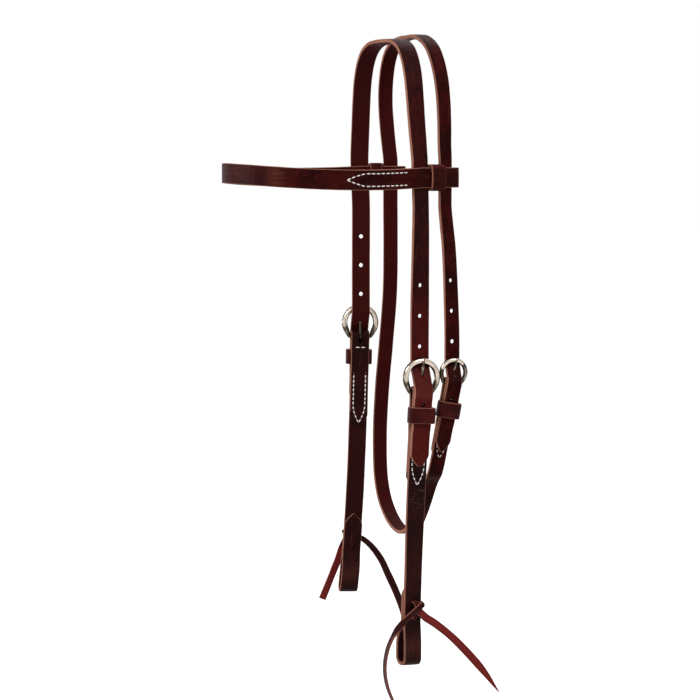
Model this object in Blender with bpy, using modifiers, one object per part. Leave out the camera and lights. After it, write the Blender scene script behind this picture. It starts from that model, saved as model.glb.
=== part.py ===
"""Western headstall: straps, browband, buckles, loops and ties, in metres, +Z up.

X runs across the head (+X is the near side), -Y is the front where the browband lies, and the
origin is on the underside of the crown strap, where it rests on the poll.
"""
import math

import bmesh
import bpy
from mathutils import Matrix, Vector

# Leather
STRAP_WIDTH = 0.0159
THROAT_WIDTH = 0.0127
LEATHER = 0.0032
LOOP_LEATHER = 0.0021
EDGE_ROUND = 0.0007
CLEARANCE = 0.0003
CUT_OVERRUN = 0.004

# Poll and legs
LEG_HALF_SPACING = 0.0722
ARCH_DROP = 0.100
STRAIGHT_LEG = 0.036
SPLAY = math.radians(18)
TOP_FORWARD = 0.003
FORWARD_DEPTH = 0.140
THROAT_SPACING = 0.0259
THROAT_RISE = 0.0040
THROAT_TOP_FORWARD = 0.0047
THROAT_FORWARD_DEPTH = 0.100

# Outlines of the two arches: (share of the half spacing, share of the drop). The crown is flat up to
# its first place, where it rests on the poll.
CROWN_ARCH_shares = ((0.16, 0.0), (0.36, 0.011), (0.55, 0.055), (0.70, 0.141), (0.817, 0.289),
                     (0.884, 0.488), (0.932, 0.70), (0.975, 0.872))
THROAT_ARCH_shares = {1: ((0.0, 0.0), (0.20, 0.0), (0.42, 0.028), (0.65, 0.088), (0.84, 0.195), (0.985, 0.35),
                          (1.045, 0.52), (1.045, 0.72), (1.015, 0.87)),
                      -1: ((0.0, 0.0), (0.20, 0.0), (0.47, 0.018), (0.70, 0.07), (0.87, 0.17), (0.995, 0.35),
                           (1.04, 0.52), (1.03, 0.72), (1.01, 0.87))}

# Buckles
BUCKLE_DROP = 0.2600
CROWN_SHIFT = 0.0180
BUCKLE_HALF_SPACING = 0.0745
CHEEK_RING_RADIUS = 0.0139
CHEEK_RING_WIRE = 0.0025
CHEEK_BAR_WIRE = 0.0018
CHEEK_TONGUE_WIRE = 0.0011
THROAT_RING_RADIUS = 0.0105
THROAT_RING_WIRE = 0.0019
THROAT_BAR_WIRE = 0.0015
THROAT_TONGUE_WIRE = 0.0010
BAR_DROP_share = 0.89
RING_CORNER_share = 0.15
BEND_BELOW_TOP_share = 1.5
RING_ARC_END = math.radians(-25)
CHEEK_LEAN = {1: math.radians(3.3), -1: math.radians(1.0)}
CHEEK_YAW = {1: math.radians(0), -1: math.radians(12)}
CHEEK_TWIST = {1: math.radians(10), -1: math.radians(0)}
CHEEK_SWAY = {1: -0.0046, -1: 0.0075}
THROAT_BUCKLE_X = 0.0735
THROAT_BUCKLE_Y = 0.0290
THROAT_BUCKLE_FALL = 0.0147
THROAT_BUCKLE_DROP = BUCKLE_DROP + THROAT_BUCKLE_FALL
THROAT_YAW = math.radians(-2)
THROAT_LEAN = math.radians(9.5)
THROAT_TILT = math.radians(4)
TONGUE_TRAVEL = math.radians(4)

# Holes
HOLE_PITCH = 0.0254
HOLE_RADIUS = 0.0021
HOLES_ABOVE = 3
HOLES_BELOW = 1

# Cheek pieces
CHEEK_LENGTH = 0.241
CHEEK_TAIL = 0.0735
CHEEK_SEWN_END = 0.092
CHEEK_FLAP = 0.070
BIT_LOOP_WIDTH = 0.0125
BIT_LOOP_HEIGHT = 0.0365
KEEPER_HEIGHT = 0.0132
KEEPER_TOP = 0.0242
KEEPER_SLACK = 0.0016
POINT_LENGTH = 0.0100
POINT_shares = ((0.0, 1.0), (0.22, 0.93), (0.50, 0.70), (0.78, 0.40), (1.0, 0.10))

# Throat latch
THROAT_TAIL = 0.0665
THROAT_SEWN_END = 0.075
THROAT_LOOP_FALL = 0.1443
THROAT_LOW = THROAT_BUCKLE_DROP + THROAT_LOOP_FALL
THROAT_LOOP_HALF_WIDTH = 0.0735
THROAT_LOW_Y = 0.0150
# Far side to near side: (share of the half width, share of the way forward, share of the way down)
THROAT_LOOP_shares = ((-0.872, 0.03, 0.266), (-0.94, 0.24, 0.444), (-0.99, 0.48, 0.59), (-1.0, 0.65, 0.74),
                      (-0.886, 0.83, 0.871), (-0.70, 0.94, 0.932), (-0.362, 1.0, 0.985), (0.0, 1.0, 1.0),
                      (0.28, 1.0, 0.972), (0.50, 1.0, 0.917), (0.69, 0.90, 0.843))
# Near leg between browband and buckle: (share of the way down, share of the way out)
THROAT_NEAR_shares = ((0.30, 0.55), (0.62, 0.84))

# Browband
BAND_WIDTH = 0.0166
BAND_DROP = 0.1125
BAND_FRONT = 0.1427
BAND_RISE = 0.0028
BAND_SAG = 0.0015
BAND_TILT = 0.0006
BAND_HALF_WIDTH = 0.0828
BAND_STRAIGHT = 0.020
BAND_SEWN_GAP = 0.0145
BAND_SEWN_LENGTH = 0.056
BAND_CLEARANCE = 0.0004
BAND_KEEPER_LENGTH = 0.0102
# From the front to the cheek: (share of the half width, share of the front reach)
BAND_FRONT_shares = ((0.0, 1.0), (0.225, 0.982), (0.53, 0.896), (0.79, 0.732), (0.945, 0.525), (0.997, 0.315))

# Ties
LACE_WIDTH = 0.0065
LACE_THICKNESS = 0.0020
TIE_HOLE_UPPER = 0.0545
TIE_HOLE_LOWER = 0.0395
TIE_HOLE_RADIUS = 0.0025
# Width left where a lace passes a hole, and where it is pulled tight over the knot
LACE_SQUEEZE_share = 0.54
KNOT_SQUEEZE_share = 0.76
# Where the first end leaves, as shares of the lace's width and the holes' pitch, then the last
TIE_FIRST_shares = {1: (1.35, 0.80), -1: (1.06, 1.05)}
TIE_LAST_shares = {1: 0.15, -1: 0.45}

# Free ends of the ties, on from the knot, and the way each one's face ends up turned, over which share of it
NEAR_REAR_TIE = ((0.0804, 0.0112, -0.4842), (0.0815, 0.0250, -0.4957), (0.0830, 0.0394, -0.5106),
                 (0.0840, 0.0534, -0.5269), (0.0845, 0.0666, -0.5448))
NEAR_FRONT_TIE = ((0.0850, -0.0243, -0.4850), (0.0852, -0.0302, -0.4935), (0.0852, -0.0342, -0.5036),
                  (0.0852, -0.0360, -0.5168), (0.0852, -0.0346, -0.5290), (0.0852, -0.0310, -0.5400),
                  (0.0850, -0.0255, -0.5510))
FAR_FRONT_TIE = ((-0.0845, -0.0172, -0.4550), (-0.0862, -0.0212, -0.4660), (-0.0880, -0.0260, -0.4790),
                 (-0.0890, -0.0309, -0.4912))
FAR_REAR_TIE = ((-0.0855, 0.0149, -0.4455), (-0.0862, 0.0244, -0.4581), (-0.0870, 0.0312, -0.4717),
                (-0.0874, 0.0390, -0.4880), (-0.0876, 0.0450, -0.5030), (-0.0877, 0.0490, -0.5150))
FACING_OUT = (1.0, 0.0, 0.0)
FACING_FRONT = (-0.05, -1.0, 0.0)
SLOW_TURN_share = 0.5
QUICK_TURN_share = 0.25
LONG_POINT_share = 5.0
SQUARE_END_share = 0.0
TIE_ENDS = {1: ((NEAR_REAR_TIE, FACING_OUT, SLOW_TURN_share, LONG_POINT_share),
                (NEAR_FRONT_TIE, FACING_FRONT, QUICK_TURN_share, SQUARE_END_share)),
            -1: ((FAR_FRONT_TIE, FACING_OUT, SLOW_TURN_share, SQUARE_END_share),
                 (FAR_REAR_TIE, FACING_OUT, SLOW_TURN_share, SQUARE_END_share))}

# Fineness of the curves
TURN_STEP = math.radians(20)
SPLINE_STEP = 0.002
STATION_TURN = math.radians(5)
STATION_GAP = 0.030

LEATHER_COLOUR = (0.055, 0.010, 0.009, 1.0)
LACE_COLOUR = (0.120, 0.014, 0.012, 1.0)
NICKEL_COLOUR = (0.72, 0.69, 0.64, 1.0)
LEATHER_ROUGHNESS = 0.45
NICKEL_ROUGHNESS = 0.18


def clear_scene():
    for thing in list(bpy.data.objects):
        bpy.data.objects.remove(thing, do_unlink=True)


def make_collection(name):
    group = bpy.data.collections.new(name)
    bpy.context.scene.collection.children.link(group)
    return group


def make_material(name, colour, roughness, metallic=0.0):
    material = bpy.data.materials.new(name)
    material.use_nodes = True
    shader = material.node_tree.nodes["Principled BSDF"]
    shader.inputs["Base Color"].default_value = colour
    shader.inputs["Roughness"].default_value = roughness
    shader.inputs["Metallic"].default_value = metallic
    return material


clear_scene()
PARTS = make_collection("western_headstall")
CUTTERS = make_collection("cutters")


def leather(name, colour=LEATHER_COLOUR):
    return make_material(name, colour, LEATHER_ROUGHNESS)


def nickel(name):
    return make_material(name, NICKEL_COLOUR, NICKEL_ROUGHNESS, 1.0)


# Routes. A station is (centre, across, width share): across is a unit vector along the width.

def spline(keys, step=SPLINE_STEP):
    """Points of equal length, of any size, on a smooth curve through the keys."""
    keys = [Vector(key) for key in keys]
    keys = [2 * keys[0] - keys[1]] + keys + [2 * keys[-1] - keys[-2]]
    points = []
    for p0, p1, p2, p3 in zip(keys, keys[1:], keys[2:], keys[3:]):
        t1 = math.sqrt((p1 - p0).length)
        t2 = t1 + math.sqrt((p2 - p1).length)
        t3 = t2 + math.sqrt((p3 - p2).length)
        count = max(2, math.ceil((p2 - p1).length / step))
        for i in range(count):
            t = t1 + (t2 - t1) * i / count
            a1 = p0 * ((t1 - t) / t1) + p1 * (t / t1)
            a2 = p1 * ((t2 - t) / (t2 - t1)) + p2 * ((t - t1) / (t2 - t1))
            a3 = p2 * ((t3 - t) / (t3 - t2)) + p3 * ((t - t2) / (t3 - t2))
            b1 = a1 * ((t2 - t) / t2) + a2 * (t / t2)
            b2 = a2 * ((t3 - t) / (t3 - t1)) + a3 * ((t - t1) / (t3 - t1))
            points.append(b1 * ((t2 - t) / (t2 - t1)) + b2 * ((t - t1) / (t2 - t1)))
    points.append(keys[-2])
    return points


def rounded(corners, closed=False):
    """A path through corners, each (coordinates, then radius), turned into arcs of their radii."""
    count = len(corners)
    spots = [Vector(corner[:-1]) for corner in corners]
    points = []
    for i, here in enumerate(spots):
        radius = corners[i][-1]
        if radius == 0 or not closed and i in (0, count - 1):
            points.append(here)
            continue
        inward = (here - spots[i - 1]).normalized()
        onward = (spots[(i + 1) % count] - here).normalized()
        turn = math.acos(max(-1.0, min(1.0, inward.dot(onward))))
        start = here - inward * radius * math.tan(turn / 2)
        side = (onward - inward * inward.dot(onward)).normalized()
        steps = max(1, math.ceil(turn / TURN_STEP))
        for k in range(steps + 1):
            angle = turn * k / steps
            points.append(start + side * radius * (1 - math.cos(angle)) + inward * radius * math.sin(angle))
    return points


def subdivided(points):
    """The points with long straights split, for a frame that twists along them."""
    split = [points[0]]
    for before, here in zip(points, points[1:]):
        count = math.ceil((here - before).length / STATION_GAP)
        split += [before.lerp(here, (k + 1) / count) for k in range(count)]
    return split


def square_across(stations):
    """The stations without repeats, and with each across vector made square to the route."""
    stations = [stations[0]] + [here for before, here in zip(stations, stations[1:])
                                if (here[0] - before[0]).length > CLEARANCE / 2]
    squared = []
    last = len(stations) - 1
    for i, (centre, across, share) in enumerate(stations):
        along = (stations[min(i + 1, last)][0] - stations[max(i - 1, 0)][0]).normalized()
        squared.append((centre, (across - along * across.dot(along)).normalized(), share))
    return squared


def thinned(stations):
    """Drops the stations between which the strap neither turns, twists nor runs far."""
    kept = [stations[0]]
    heading = (stations[1][0] - stations[0][0]).normalized()
    for before, here in zip(stations[1:], stations[2:]):
        turn = heading.angle((here[0] - before[0]).normalized())
        twist = kept[-1][1].angle(here[1])
        gap = (here[0] - kept[-1][0]).length
        if turn > STATION_TURN or twist > STATION_TURN or gap > STATION_GAP:
            kept.append(before)
            heading = (here[0] - before[0]).normalized()
    kept.append(stations[-1])
    return kept


def pointed(stations, length):
    """The stations with the last stretch of this length narrowed to a point."""
    lengths = path_lengths(stations)
    start = lengths[-1] - length
    body = [station for station, run in zip(stations, lengths) if run < start]
    tip = []
    for run_share, width_share in POINT_shares:
        centre, across = place_at(stations, start + length * run_share)
        tip.append((centre, across, width_share))
    return body + tip


def both_pointed(stations):
    stations = pointed(square_across(stations), POINT_LENGTH)
    stations = pointed(list(reversed(stations)), POINT_LENGTH)
    return list(reversed(stations))


def path_lengths(stations):
    lengths = [0.0]
    for before, here in zip(stations, stations[1:]):
        lengths.append(lengths[-1] + (here[0] - before[0]).length)
    return lengths


def place_at(stations, run):
    """Centre and across at this length along the stations."""
    lengths = path_lengths(stations)
    for i in range(1, len(stations)):
        if lengths[i] >= run or i == len(stations) - 1:
            share = (run - lengths[i - 1]) / (lengths[i] - lengths[i - 1])
            centre = stations[i - 1][0].lerp(stations[i][0], share)
            across = stations[i - 1][1].lerp(stations[i][1], share).normalized()
            return centre, across


def run_to(stations, point):
    """Length along the stations to where they pass nearest this point."""
    lengths = path_lengths(stations)
    best = None
    for (start, _, _), (end, _, _), length in zip(stations, stations[1:], lengths):
        way = end - start
        share = min(1.0, max(0.0, (point - start).dot(way) / way.length_squared))
        distance = (start + way * share - point).length
        if best is None or distance < best[0]:
            best = (distance, length + way.length * share)
    return best[1]


def link(name, data, material, origin=Vector()):
    item = bpy.data.objects.new(name, data)
    item.location = origin
    data.materials.append(material)
    PARTS.objects.link(item)
    return item


def strap(name, stations, width, material, thickness=LEATHER, origin=Vector(), closed=False):
    """A flat strap along the stations: a strip, thickened, with its edges rounded."""
    bm = bmesh.new()
    rows = len(stations) + (1 if closed else 0)
    bmesh.ops.create_grid(bm, x_segments=1, y_segments=rows - 1, size=0.5)
    for vert in bm.verts:
        row = round((vert.co.y + 0.5) * (rows - 1)) % len(stations)
        centre, across, share = stations[row]
        vert.co = centre - origin + across * (2 * vert.co.x) * (width / 2) * share
    if closed:
        bmesh.ops.remove_doubles(bm, verts=bm.verts, dist=CLEARANCE / 10)
    mesh = bpy.data.meshes.new(name)
    bm.to_mesh(mesh)
    bm.free()
    item = link(name, mesh, material, origin)
    thicken = item.modifiers.new("thickness", "SOLIDIFY")
    thicken.thickness = thickness
    thicken.offset = 0
    thicken.use_even_offset = True
    ease = item.modifiers.new("edges", "BEVEL")
    ease.width = EDGE_ROUND
    ease.segments = 1
    ease.limit_method = "ANGLE"
    ease.angle_limit = math.radians(50)
    return item


def cut(item, cutter):
    cutter.hide_render = True
    cutter.display_type = "WIRE"
    for group in list(cutter.users_collection):
        group.objects.unlink(cutter)
    CUTTERS.objects.link(cutter)
    boolean = item.modifiers.new("cut", "BOOLEAN")
    boolean.operation = "DIFFERENCE"
    boolean.solver = "EXACT"
    boolean.object = cutter


def punch(item, centre, across, along, radius, depth, stretch=0.0):
    """A round hole square to the strap, or one stretched along it by this length."""
    bm = bmesh.new()
    bmesh.ops.create_cone(bm, cap_ends=True, segments=16, radius1=radius, radius2=radius, depth=depth)
    for vert in bm.verts:
        vert.co.y += math.copysign(stretch / 2, vert.co.y)
    mesh = bpy.data.meshes.new("hole")
    bm.to_mesh(mesh)
    bm.free()
    cutter = bpy.data.objects.new("hole", mesh)
    CUTTERS.objects.link(cutter)
    normal = across.cross(along).normalized()
    axes = Matrix((across, normal.cross(across), normal)).transposed()
    cutter.matrix_world = Matrix.Translation(centre) @ axes.to_4x4()
    cut(item, cutter)


def wire(name, points, radius, material, axes, origin, closed=False, shares=None):
    """A round bar or wire along local points, set by its axes and origin."""
    curve = bpy.data.curves.new(name, "CURVE")
    curve.dimensions = "3D"
    curve.bevel_depth = radius
    curve.bevel_resolution = 3
    curve.use_fill_caps = not closed
    line = curve.splines.new("POLY")
    line.points.add(len(points) - 1)
    for i, point in enumerate(points):
        line.points[i].co = (*point, 1.0)
        line.points[i].radius = shares[i] if shares else 1.0
    line.use_cyclic_u = closed
    item = link(name, curve, material)
    item.matrix_world = Matrix.Translation(origin) @ axes.to_4x4()
    return item


class Seat:
    """A buckle's place. b runs to the back, w outward from the head and v up the lower strap.

    Further down the strap the frame twists, and the strap sways forward, by the given amounts at
    the bottom of a cheek piece.
    """

    def __init__(self, origin, side, yaw, lean, tilt=0.0, twist=0.0, sway=0.0):
        self.origin = origin
        self.side = side
        self.twist = twist
        self.sway = sway
        mirror = Vector((side, 1, 1))
        outward = Vector((math.cos(yaw), math.sin(yaw), 0))
        across = Vector((-math.sin(yaw), math.cos(yaw), 0))
        up = Vector((0, 0, 1))
        self.upper_across = across * mirror
        self.upper_up = up * mirror
        leaned = up * math.cos(lean) + across * math.sin(lean)
        self.across = (across * math.cos(lean) - up * math.sin(lean)) * mirror
        self.outward = (outward * math.cos(tilt) - leaned * math.sin(tilt)) * mirror
        self.up = (leaned * math.cos(tilt) + outward * math.sin(tilt)) * mirror
        self.flat_outward = outward * mirror

    def turned(self, v):
        """The directions of b and w at this height."""
        share = min(1.0, max(0.0, (-v - CHEEK_SEWN_END) / (CHEEK_LENGTH - CHEEK_FLAP - CHEEK_SEWN_END)))
        angle = self.twist * share * share * (3 - 2 * share)
        return (self.across * math.cos(angle) - self.outward * math.sin(angle),
                self.outward * math.cos(angle) + self.across * math.sin(angle))

    def at(self, b, w, v):
        across, outward = self.turned(v)
        drift = self.sway * max(0.0, -v / CHEEK_LENGTH) ** 3
        return self.origin + across * b + outward * w + self.up * v - self.across * drift

    def above(self, w, v):
        return self.origin + self.flat_outward * w + self.upper_up * v

    def axes(self):
        """Columns b, v and their cross product, as a rotation."""
        return Matrix((self.across, self.up, self.across.cross(self.up))).transposed()


class Buckle:
    """A ring with a straight heel bar, its tongue, and how straps pass it, in (w, v)."""

    def __init__(self, radius, ring_wire, bar_wire, tongue_wire):
        self.radius = radius
        self.ring_wire = ring_wire
        self.bar_wire = bar_wire
        self.tongue_wire = tongue_wire
        self.bar_drop = radius * BAR_DROP_share
        self.fold_radius = bar_wire + CLEARANCE + LEATHER / 2
        self.wrap_radius = self.fold_radius + LEATHER + CLEARANCE
        self.inside = -(ring_wire + CLEARANCE + LEATHER / 2)
        self.bend_height = radius - ring_wire * BEND_BELOW_TOP_share
        reach = Vector((self.inside, self.bend_height + self.bar_drop))
        self.slope = math.atan2(reach.y, reach.x) - math.acos(self.wrap_radius / reach.length)
        self.eye_radius = bar_wire + CLEARANCE + tongue_wire
        self.prong_foot = Vector((-self.eye_radius, -self.bar_drop))
        self.prong_tip = Vector((ring_wire + CLEARANCE + tongue_wire, radius))

    def crossing(self):
        """Where the prong's line meets the strap's centre line, in (w, v)."""
        strap_foot = Vector((self.inside, self.bend_height))
        strap_way = Vector((math.sin(self.slope), -math.cos(self.slope)))
        prong_way = self.prong_tip - self.prong_foot
        gap = strap_foot - self.prong_foot
        run = (gap.x * strap_way.y - gap.y * strap_way.x) / (
            prong_way.x * strap_way.y - prong_way.y * strap_way.x)
        return self.prong_foot + prong_way * run

    def hole_stretch(self):
        """How much longer than wide the tongue's hole is, for the slanted prong and its travel."""
        prong_way = (self.prong_tip - self.prong_foot).normalized()
        slant = prong_way.angle(Vector((math.cos(self.slope), math.sin(self.slope))))
        travel = (self.crossing() - Vector((0, -self.bar_drop))).length * math.sin(TONGUE_TRAVEL)
        through = self.tongue_wire * 2 / math.cos(slant) + LEATHER * math.tan(slant)
        return through - self.tongue_wire * 2 + travel + CLEARANCE


CHEEK_BUCKLE = Buckle(CHEEK_RING_RADIUS, CHEEK_RING_WIRE, CHEEK_BAR_WIRE, CHEEK_TONGUE_WIRE)
THROAT_BUCKLE = Buckle(THROAT_RING_RADIUS, THROAT_RING_WIRE, THROAT_BAR_WIRE, THROAT_TONGUE_WIRE)

# Places of the layers below a buckle, as distances from its mid plane
SEWN_LAYER = LEATHER / 2 + CLEARANCE / 2
KEEPER_LAYER = LOOP_LEATHER / 2 + CLEARANCE + LEATHER / 2
TAIL_AT_KEEPER = KEEPER_LAYER + LEATHER + CLEARANCE
TAIL_AT_SEAM = SEWN_LAYER + LEATHER + CLEARANCE
KEEPER_END = KEEPER_TOP + KEEPER_HEIGHT
EASE_RUN = LEATHER * 1.5
EASE_RADIUS = LEATHER * 5

SEATS = {}
for _side in (1, -1):
    _drop = BUCKLE_DROP + _side * CROWN_SHIFT
    SEATS[_side] = Seat(Vector((_side * BUCKLE_HALF_SPACING, 0, -_drop)), _side, CHEEK_YAW[_side],
                        CHEEK_LEAN[_side], twist=CHEEK_TWIST[_side], sway=CHEEK_SWAY[_side])
THROAT_SEAT = Seat(Vector((THROAT_BUCKLE_X, THROAT_BUCKLE_Y, -THROAT_BUCKLE_DROP)), 1, THROAT_YAW,
                   THROAT_LEAN, THROAT_TILT)


def leg_across(side, share):
    yaw = SPLAY * share
    return Vector((-math.sin(yaw) * side, math.cos(yaw), 0))


def throat_leg(side):
    return Vector((side * (LEG_HALF_SPACING - THROAT_SPACING * math.sin(SPLAY)),
                   THROAT_SPACING * math.cos(SPLAY), 0))


def leg_keys(side, shares, leg, top, forward, forward_depth):
    """Keys of (point, across) from the top of an arch to the foot of its straight leg."""
    depth = top + ARCH_DROP
    spots = [(leg.x * x_share, top - depth * drop_share, drop_share) for x_share, drop_share in shares]
    spots += [(leg.x, -ARCH_DROP - STRAIGHT_LEG * share, 1.0) for share in (0.0, 0.12, 0.88, 1.0)]
    keys = []
    for x, z, share in spots:
        shift = forward * max(0.0, 1 - (z / forward_depth) ** 2)
        keys.append((Vector((x, leg.y, z)) - leg_across(side, 1.0) * shift, leg_across(side, share)))
    return keys


def smooth_stations(keys):
    points = spline([(*point, *across) for point, across in keys])
    return thinned([(Vector(p[:3]), Vector(p[3:]).normalized(), 1.0) for p in points])


def threaded(seat, buckle, tail):
    """Stations of a strap that comes down inside the ring and out over its bar to the tail's end."""
    wrap = buckle.wrap_radius
    corners = [(buckle.inside, buckle.radius + buckle.ring_wire * 2, 0),
               (buckle.inside, buckle.bend_height, EASE_RADIUS / 2),
               (wrap, wrap * math.tan(buckle.slope / 2) - buckle.bar_drop, wrap),
               (wrap, -buckle.bar_drop - EASE_RUN / 2, EASE_RADIUS),
               (TAIL_AT_KEEPER, -KEEPER_TOP + EASE_RUN, EASE_RADIUS),
               (TAIL_AT_KEEPER, -KEEPER_END - EASE_RUN / 2, EASE_RADIUS),
               (TAIL_AT_SEAM, -KEEPER_END - EASE_RUN * 2, EASE_RADIUS),
               (TAIL_AT_SEAM, -tail, 0)]
    stations = []
    for w, v in rounded(corners):
        share = min(1.0, max(0.0, 0.5 - v / buckle.radius))
        across = seat.upper_across.lerp(seat.across, share).normalized()
        centre = seat.above(w, v) if v > 0 else seat.at(0, w, v)
        stations.append((centre, across, 1.0))
    return stations


def folded_corners(buckle, sewn_end):
    """Corners of a strap's end: from its sewn inner end up, round the bar and down the outside."""
    fold = buckle.fold_radius
    bar = -buckle.bar_drop
    side = [(fold, bar + fold, fold), (fold, bar - EASE_RUN / 2, EASE_RADIUS),
            (KEEPER_LAYER, -KEEPER_TOP + EASE_RUN, EASE_RADIUS),
            (KEEPER_LAYER, -KEEPER_END - EASE_RUN / 2, EASE_RADIUS),
            (SEWN_LAYER, -KEEPER_END - EASE_RUN * 2, EASE_RADIUS)]
    inner = [(-w, v, radius) for w, v, radius in reversed(side)]
    return [(-SEWN_LAYER, -sewn_end, 0)] + inner + side


def slot_fold(item, seat, buckle):
    """Cuts the slot in which the tongue hangs on the bar, through the fold but not the tail on it."""
    reach = buckle.eye_radius + buckle.tongue_wire + CLEARANCE
    top = buckle.fold_radius + LEATHER
    middle = -buckle.bar_drop + (top - reach) / 2
    width = buckle.tongue_wire + CLEARANCE * 2
    front = buckle.fold_radius + LEATHER / 2 + CLEARANCE / 2
    punch(item, seat.at(0, (front - top) / 2, middle), seat.across, seat.up, width, front + top,
          top + reach - width)


def punch_row(item, stations, seat, buckle, way):
    """The tongue's long hole and the round ones. way is 1 where the tail ends the stations."""
    w, v = buckle.crossing()
    centre = seat.at(0, w, v)
    run = run_to(stations, centre)
    slant = Vector((math.sin(buckle.slope), -math.cos(buckle.slope)))
    along = seat.outward * slant.x + seat.up * slant.y
    punch(item, centre, seat.across, along, buckle.tongue_wire + CLEARANCE * 2, LEATHER * 2,
          buckle.hole_stretch())
    for k in range(-HOLES_ABOVE, HOLES_BELOW + 1):
        if k == 0:
            continue
        spot, across = place_at(stations, run + way * k * HOLE_PITCH)
        ahead, _ = place_at(stations, run + way * k * HOLE_PITCH + HOLE_RADIUS)
        punch(item, spot, across, (ahead - spot).normalized(), HOLE_RADIUS, LEATHER * 2)


def make_crown():
    top = LEATHER / 2
    halves = {}
    for side in (1, -1):
        leg = Vector((side * LEG_HALF_SPACING, 0, 0))
        keys = leg_keys(side, CROWN_ARCH_shares, leg, top, TOP_FORWARD, FORWARD_DEPTH)
        seat = SEATS[side]
        tail = threaded(seat, CHEEK_BUCKLE, CHEEK_TAIL)
        for rise in (2, 1, 0):
            keys.append((tail[0][0] + Vector((0, 0, CHEEK_RING_RADIUS * rise)), tail[0][1]))
        halves[side] = smooth_stations(keys)[:-1] + tail
    far = list(reversed(halves[-1]))
    route = both_pointed(far + halves[1])
    crown = strap("crown_strap", route, STRAP_WIDTH, leather("crown_leather"))
    punch_row(crown, route, SEATS[1], CHEEK_BUCKLE, 1)
    punch_row(crown, route, SEATS[-1], CHEEK_BUCKLE, -1)
    return crown


def make_throat_latch():
    seat = THROAT_SEAT
    top = LEATHER / 2 + THROAT_RISE
    halves = {}
    for side in (1, -1):
        leg = throat_leg(side)
        keys = leg_keys(side, THROAT_ARCH_shares[side], leg, top, THROAT_TOP_FORWARD, THROAT_FORWARD_DEPTH)
        if side == 1:
            tail = threaded(seat, THROAT_BUCKLE, THROAT_TAIL)
            foot, across = keys[-1]
            for down_share, out_share in THROAT_NEAR_shares:
                point = foot.lerp(tail[0][0], out_share)
                point.z = foot.z + (tail[0][0].z - foot.z) * down_share
                keys.append((point, across.lerp(tail[0][1], down_share).normalized()))
            for rise in (1, 0):
                keys.append((tail[0][0] + Vector((0, 0, THROAT_RING_RADIUS * rise)), tail[0][1]))
            halves[side] = smooth_stations(keys)[:-1] + tail
        else:
            foot = keys[-1][0]
            for x_share, y_share, z_share in THROAT_LOOP_shares:
                point = Vector((THROAT_LOOP_HALF_WIDTH * x_share,
                                foot.y + (THROAT_LOW_Y - foot.y) * y_share,
                                foot.z + (-THROAT_LOW - foot.z) * z_share))
                keys.append((point, leg_across(-1, max(0.0, 1 - z_share * 1.2))))
            fold = rounded(folded_corners(THROAT_BUCKLE, THROAT_SEWN_END))
            fold = [(seat.at(0, w, v), seat.across, 1.0) for w, v in reversed(fold)]
            for v in (-THROAT_SEWN_END, -KEEPER_END * 1.4):
                keys.append((seat.at(0, SEWN_LAYER, v), seat.across))
            halves[side] = smooth_stations(keys) + fold
    near = list(reversed(halves[1]))
    route = both_pointed(near + halves[-1][1:])
    latch = strap("throat_latch_strap", route, THROAT_WIDTH, leather("throat_leather"))
    punch_row(latch, route, seat, THROAT_BUCKLE, -1)
    slot_fold(latch, seat, THROAT_BUCKLE)
    return latch


def make_cheek_piece(side, name):
    seat = SEATS[side]
    bottom = -CHEEK_LENGTH + LEATHER / 2
    loop_top = -CHEEK_LENGTH + BIT_LOOP_HEIGHT
    outer = SEWN_LAYER * 2
    inner = outer - BIT_LOOP_WIDTH
    belly = loop_top - BIT_LOOP_HEIGHT * 0.42
    corners = folded_corners(CHEEK_BUCKLE, CHEEK_SEWN_END)
    corners += [(SEWN_LAYER, loop_top, EASE_RADIUS),
                (outer, belly, EASE_RADIUS),
                (outer, bottom, BIT_LOOP_WIDTH * 0.42),
                (inner, bottom, BIT_LOOP_WIDTH * 0.42),
                (inner, belly, EASE_RADIUS),
                (-SEWN_LAYER, loop_top, EASE_RADIUS),
                (-SEWN_LAYER, -CHEEK_LENGTH + CHEEK_FLAP, 0)]
    route = [(seat.at(0, w, v), seat.turned(v)[0], 1.0) for w, v in subdivided(rounded(corners))]
    cheek = strap(name, both_pointed(route), STRAP_WIDTH, leather(name + "_leather"), origin=seat.origin)
    slot_fold(cheek, seat, CHEEK_BUCKLE)
    for rise in (TIE_HOLE_UPPER, TIE_HOLE_LOWER):
        v = rise - CHEEK_LENGTH
        punch(cheek, seat.at(0, 0, v), seat.turned(v)[0], seat.up, TIE_HOLE_RADIUS, LEATHER * 2 + CUT_OVERRUN)
    return cheek


def make_keeper(name, seat, width):
    """A loop whose back lies between the sewn layers and whose front holds the tail."""
    half = width / 2 + KEEPER_SLACK + LOOP_LEATHER / 2
    front = TAIL_AT_KEEPER + LEATHER / 2 + CLEARANCE + LOOP_LEATHER / 2
    corner = LOOP_LEATHER * 1.3
    corners = [(half, 0, corner), (half, front, corner), (-half, front, corner), (-half, 0, corner)]
    middle = -KEEPER_TOP - KEEPER_HEIGHT / 2
    stations = [(seat.at(b, w, middle), seat.up, 1.0) for b, w in rounded(corners, closed=True)]
    return strap(name, stations, KEEPER_HEIGHT, leather(name + "_leather"), LOOP_LEATHER, seat.origin, True)


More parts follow.
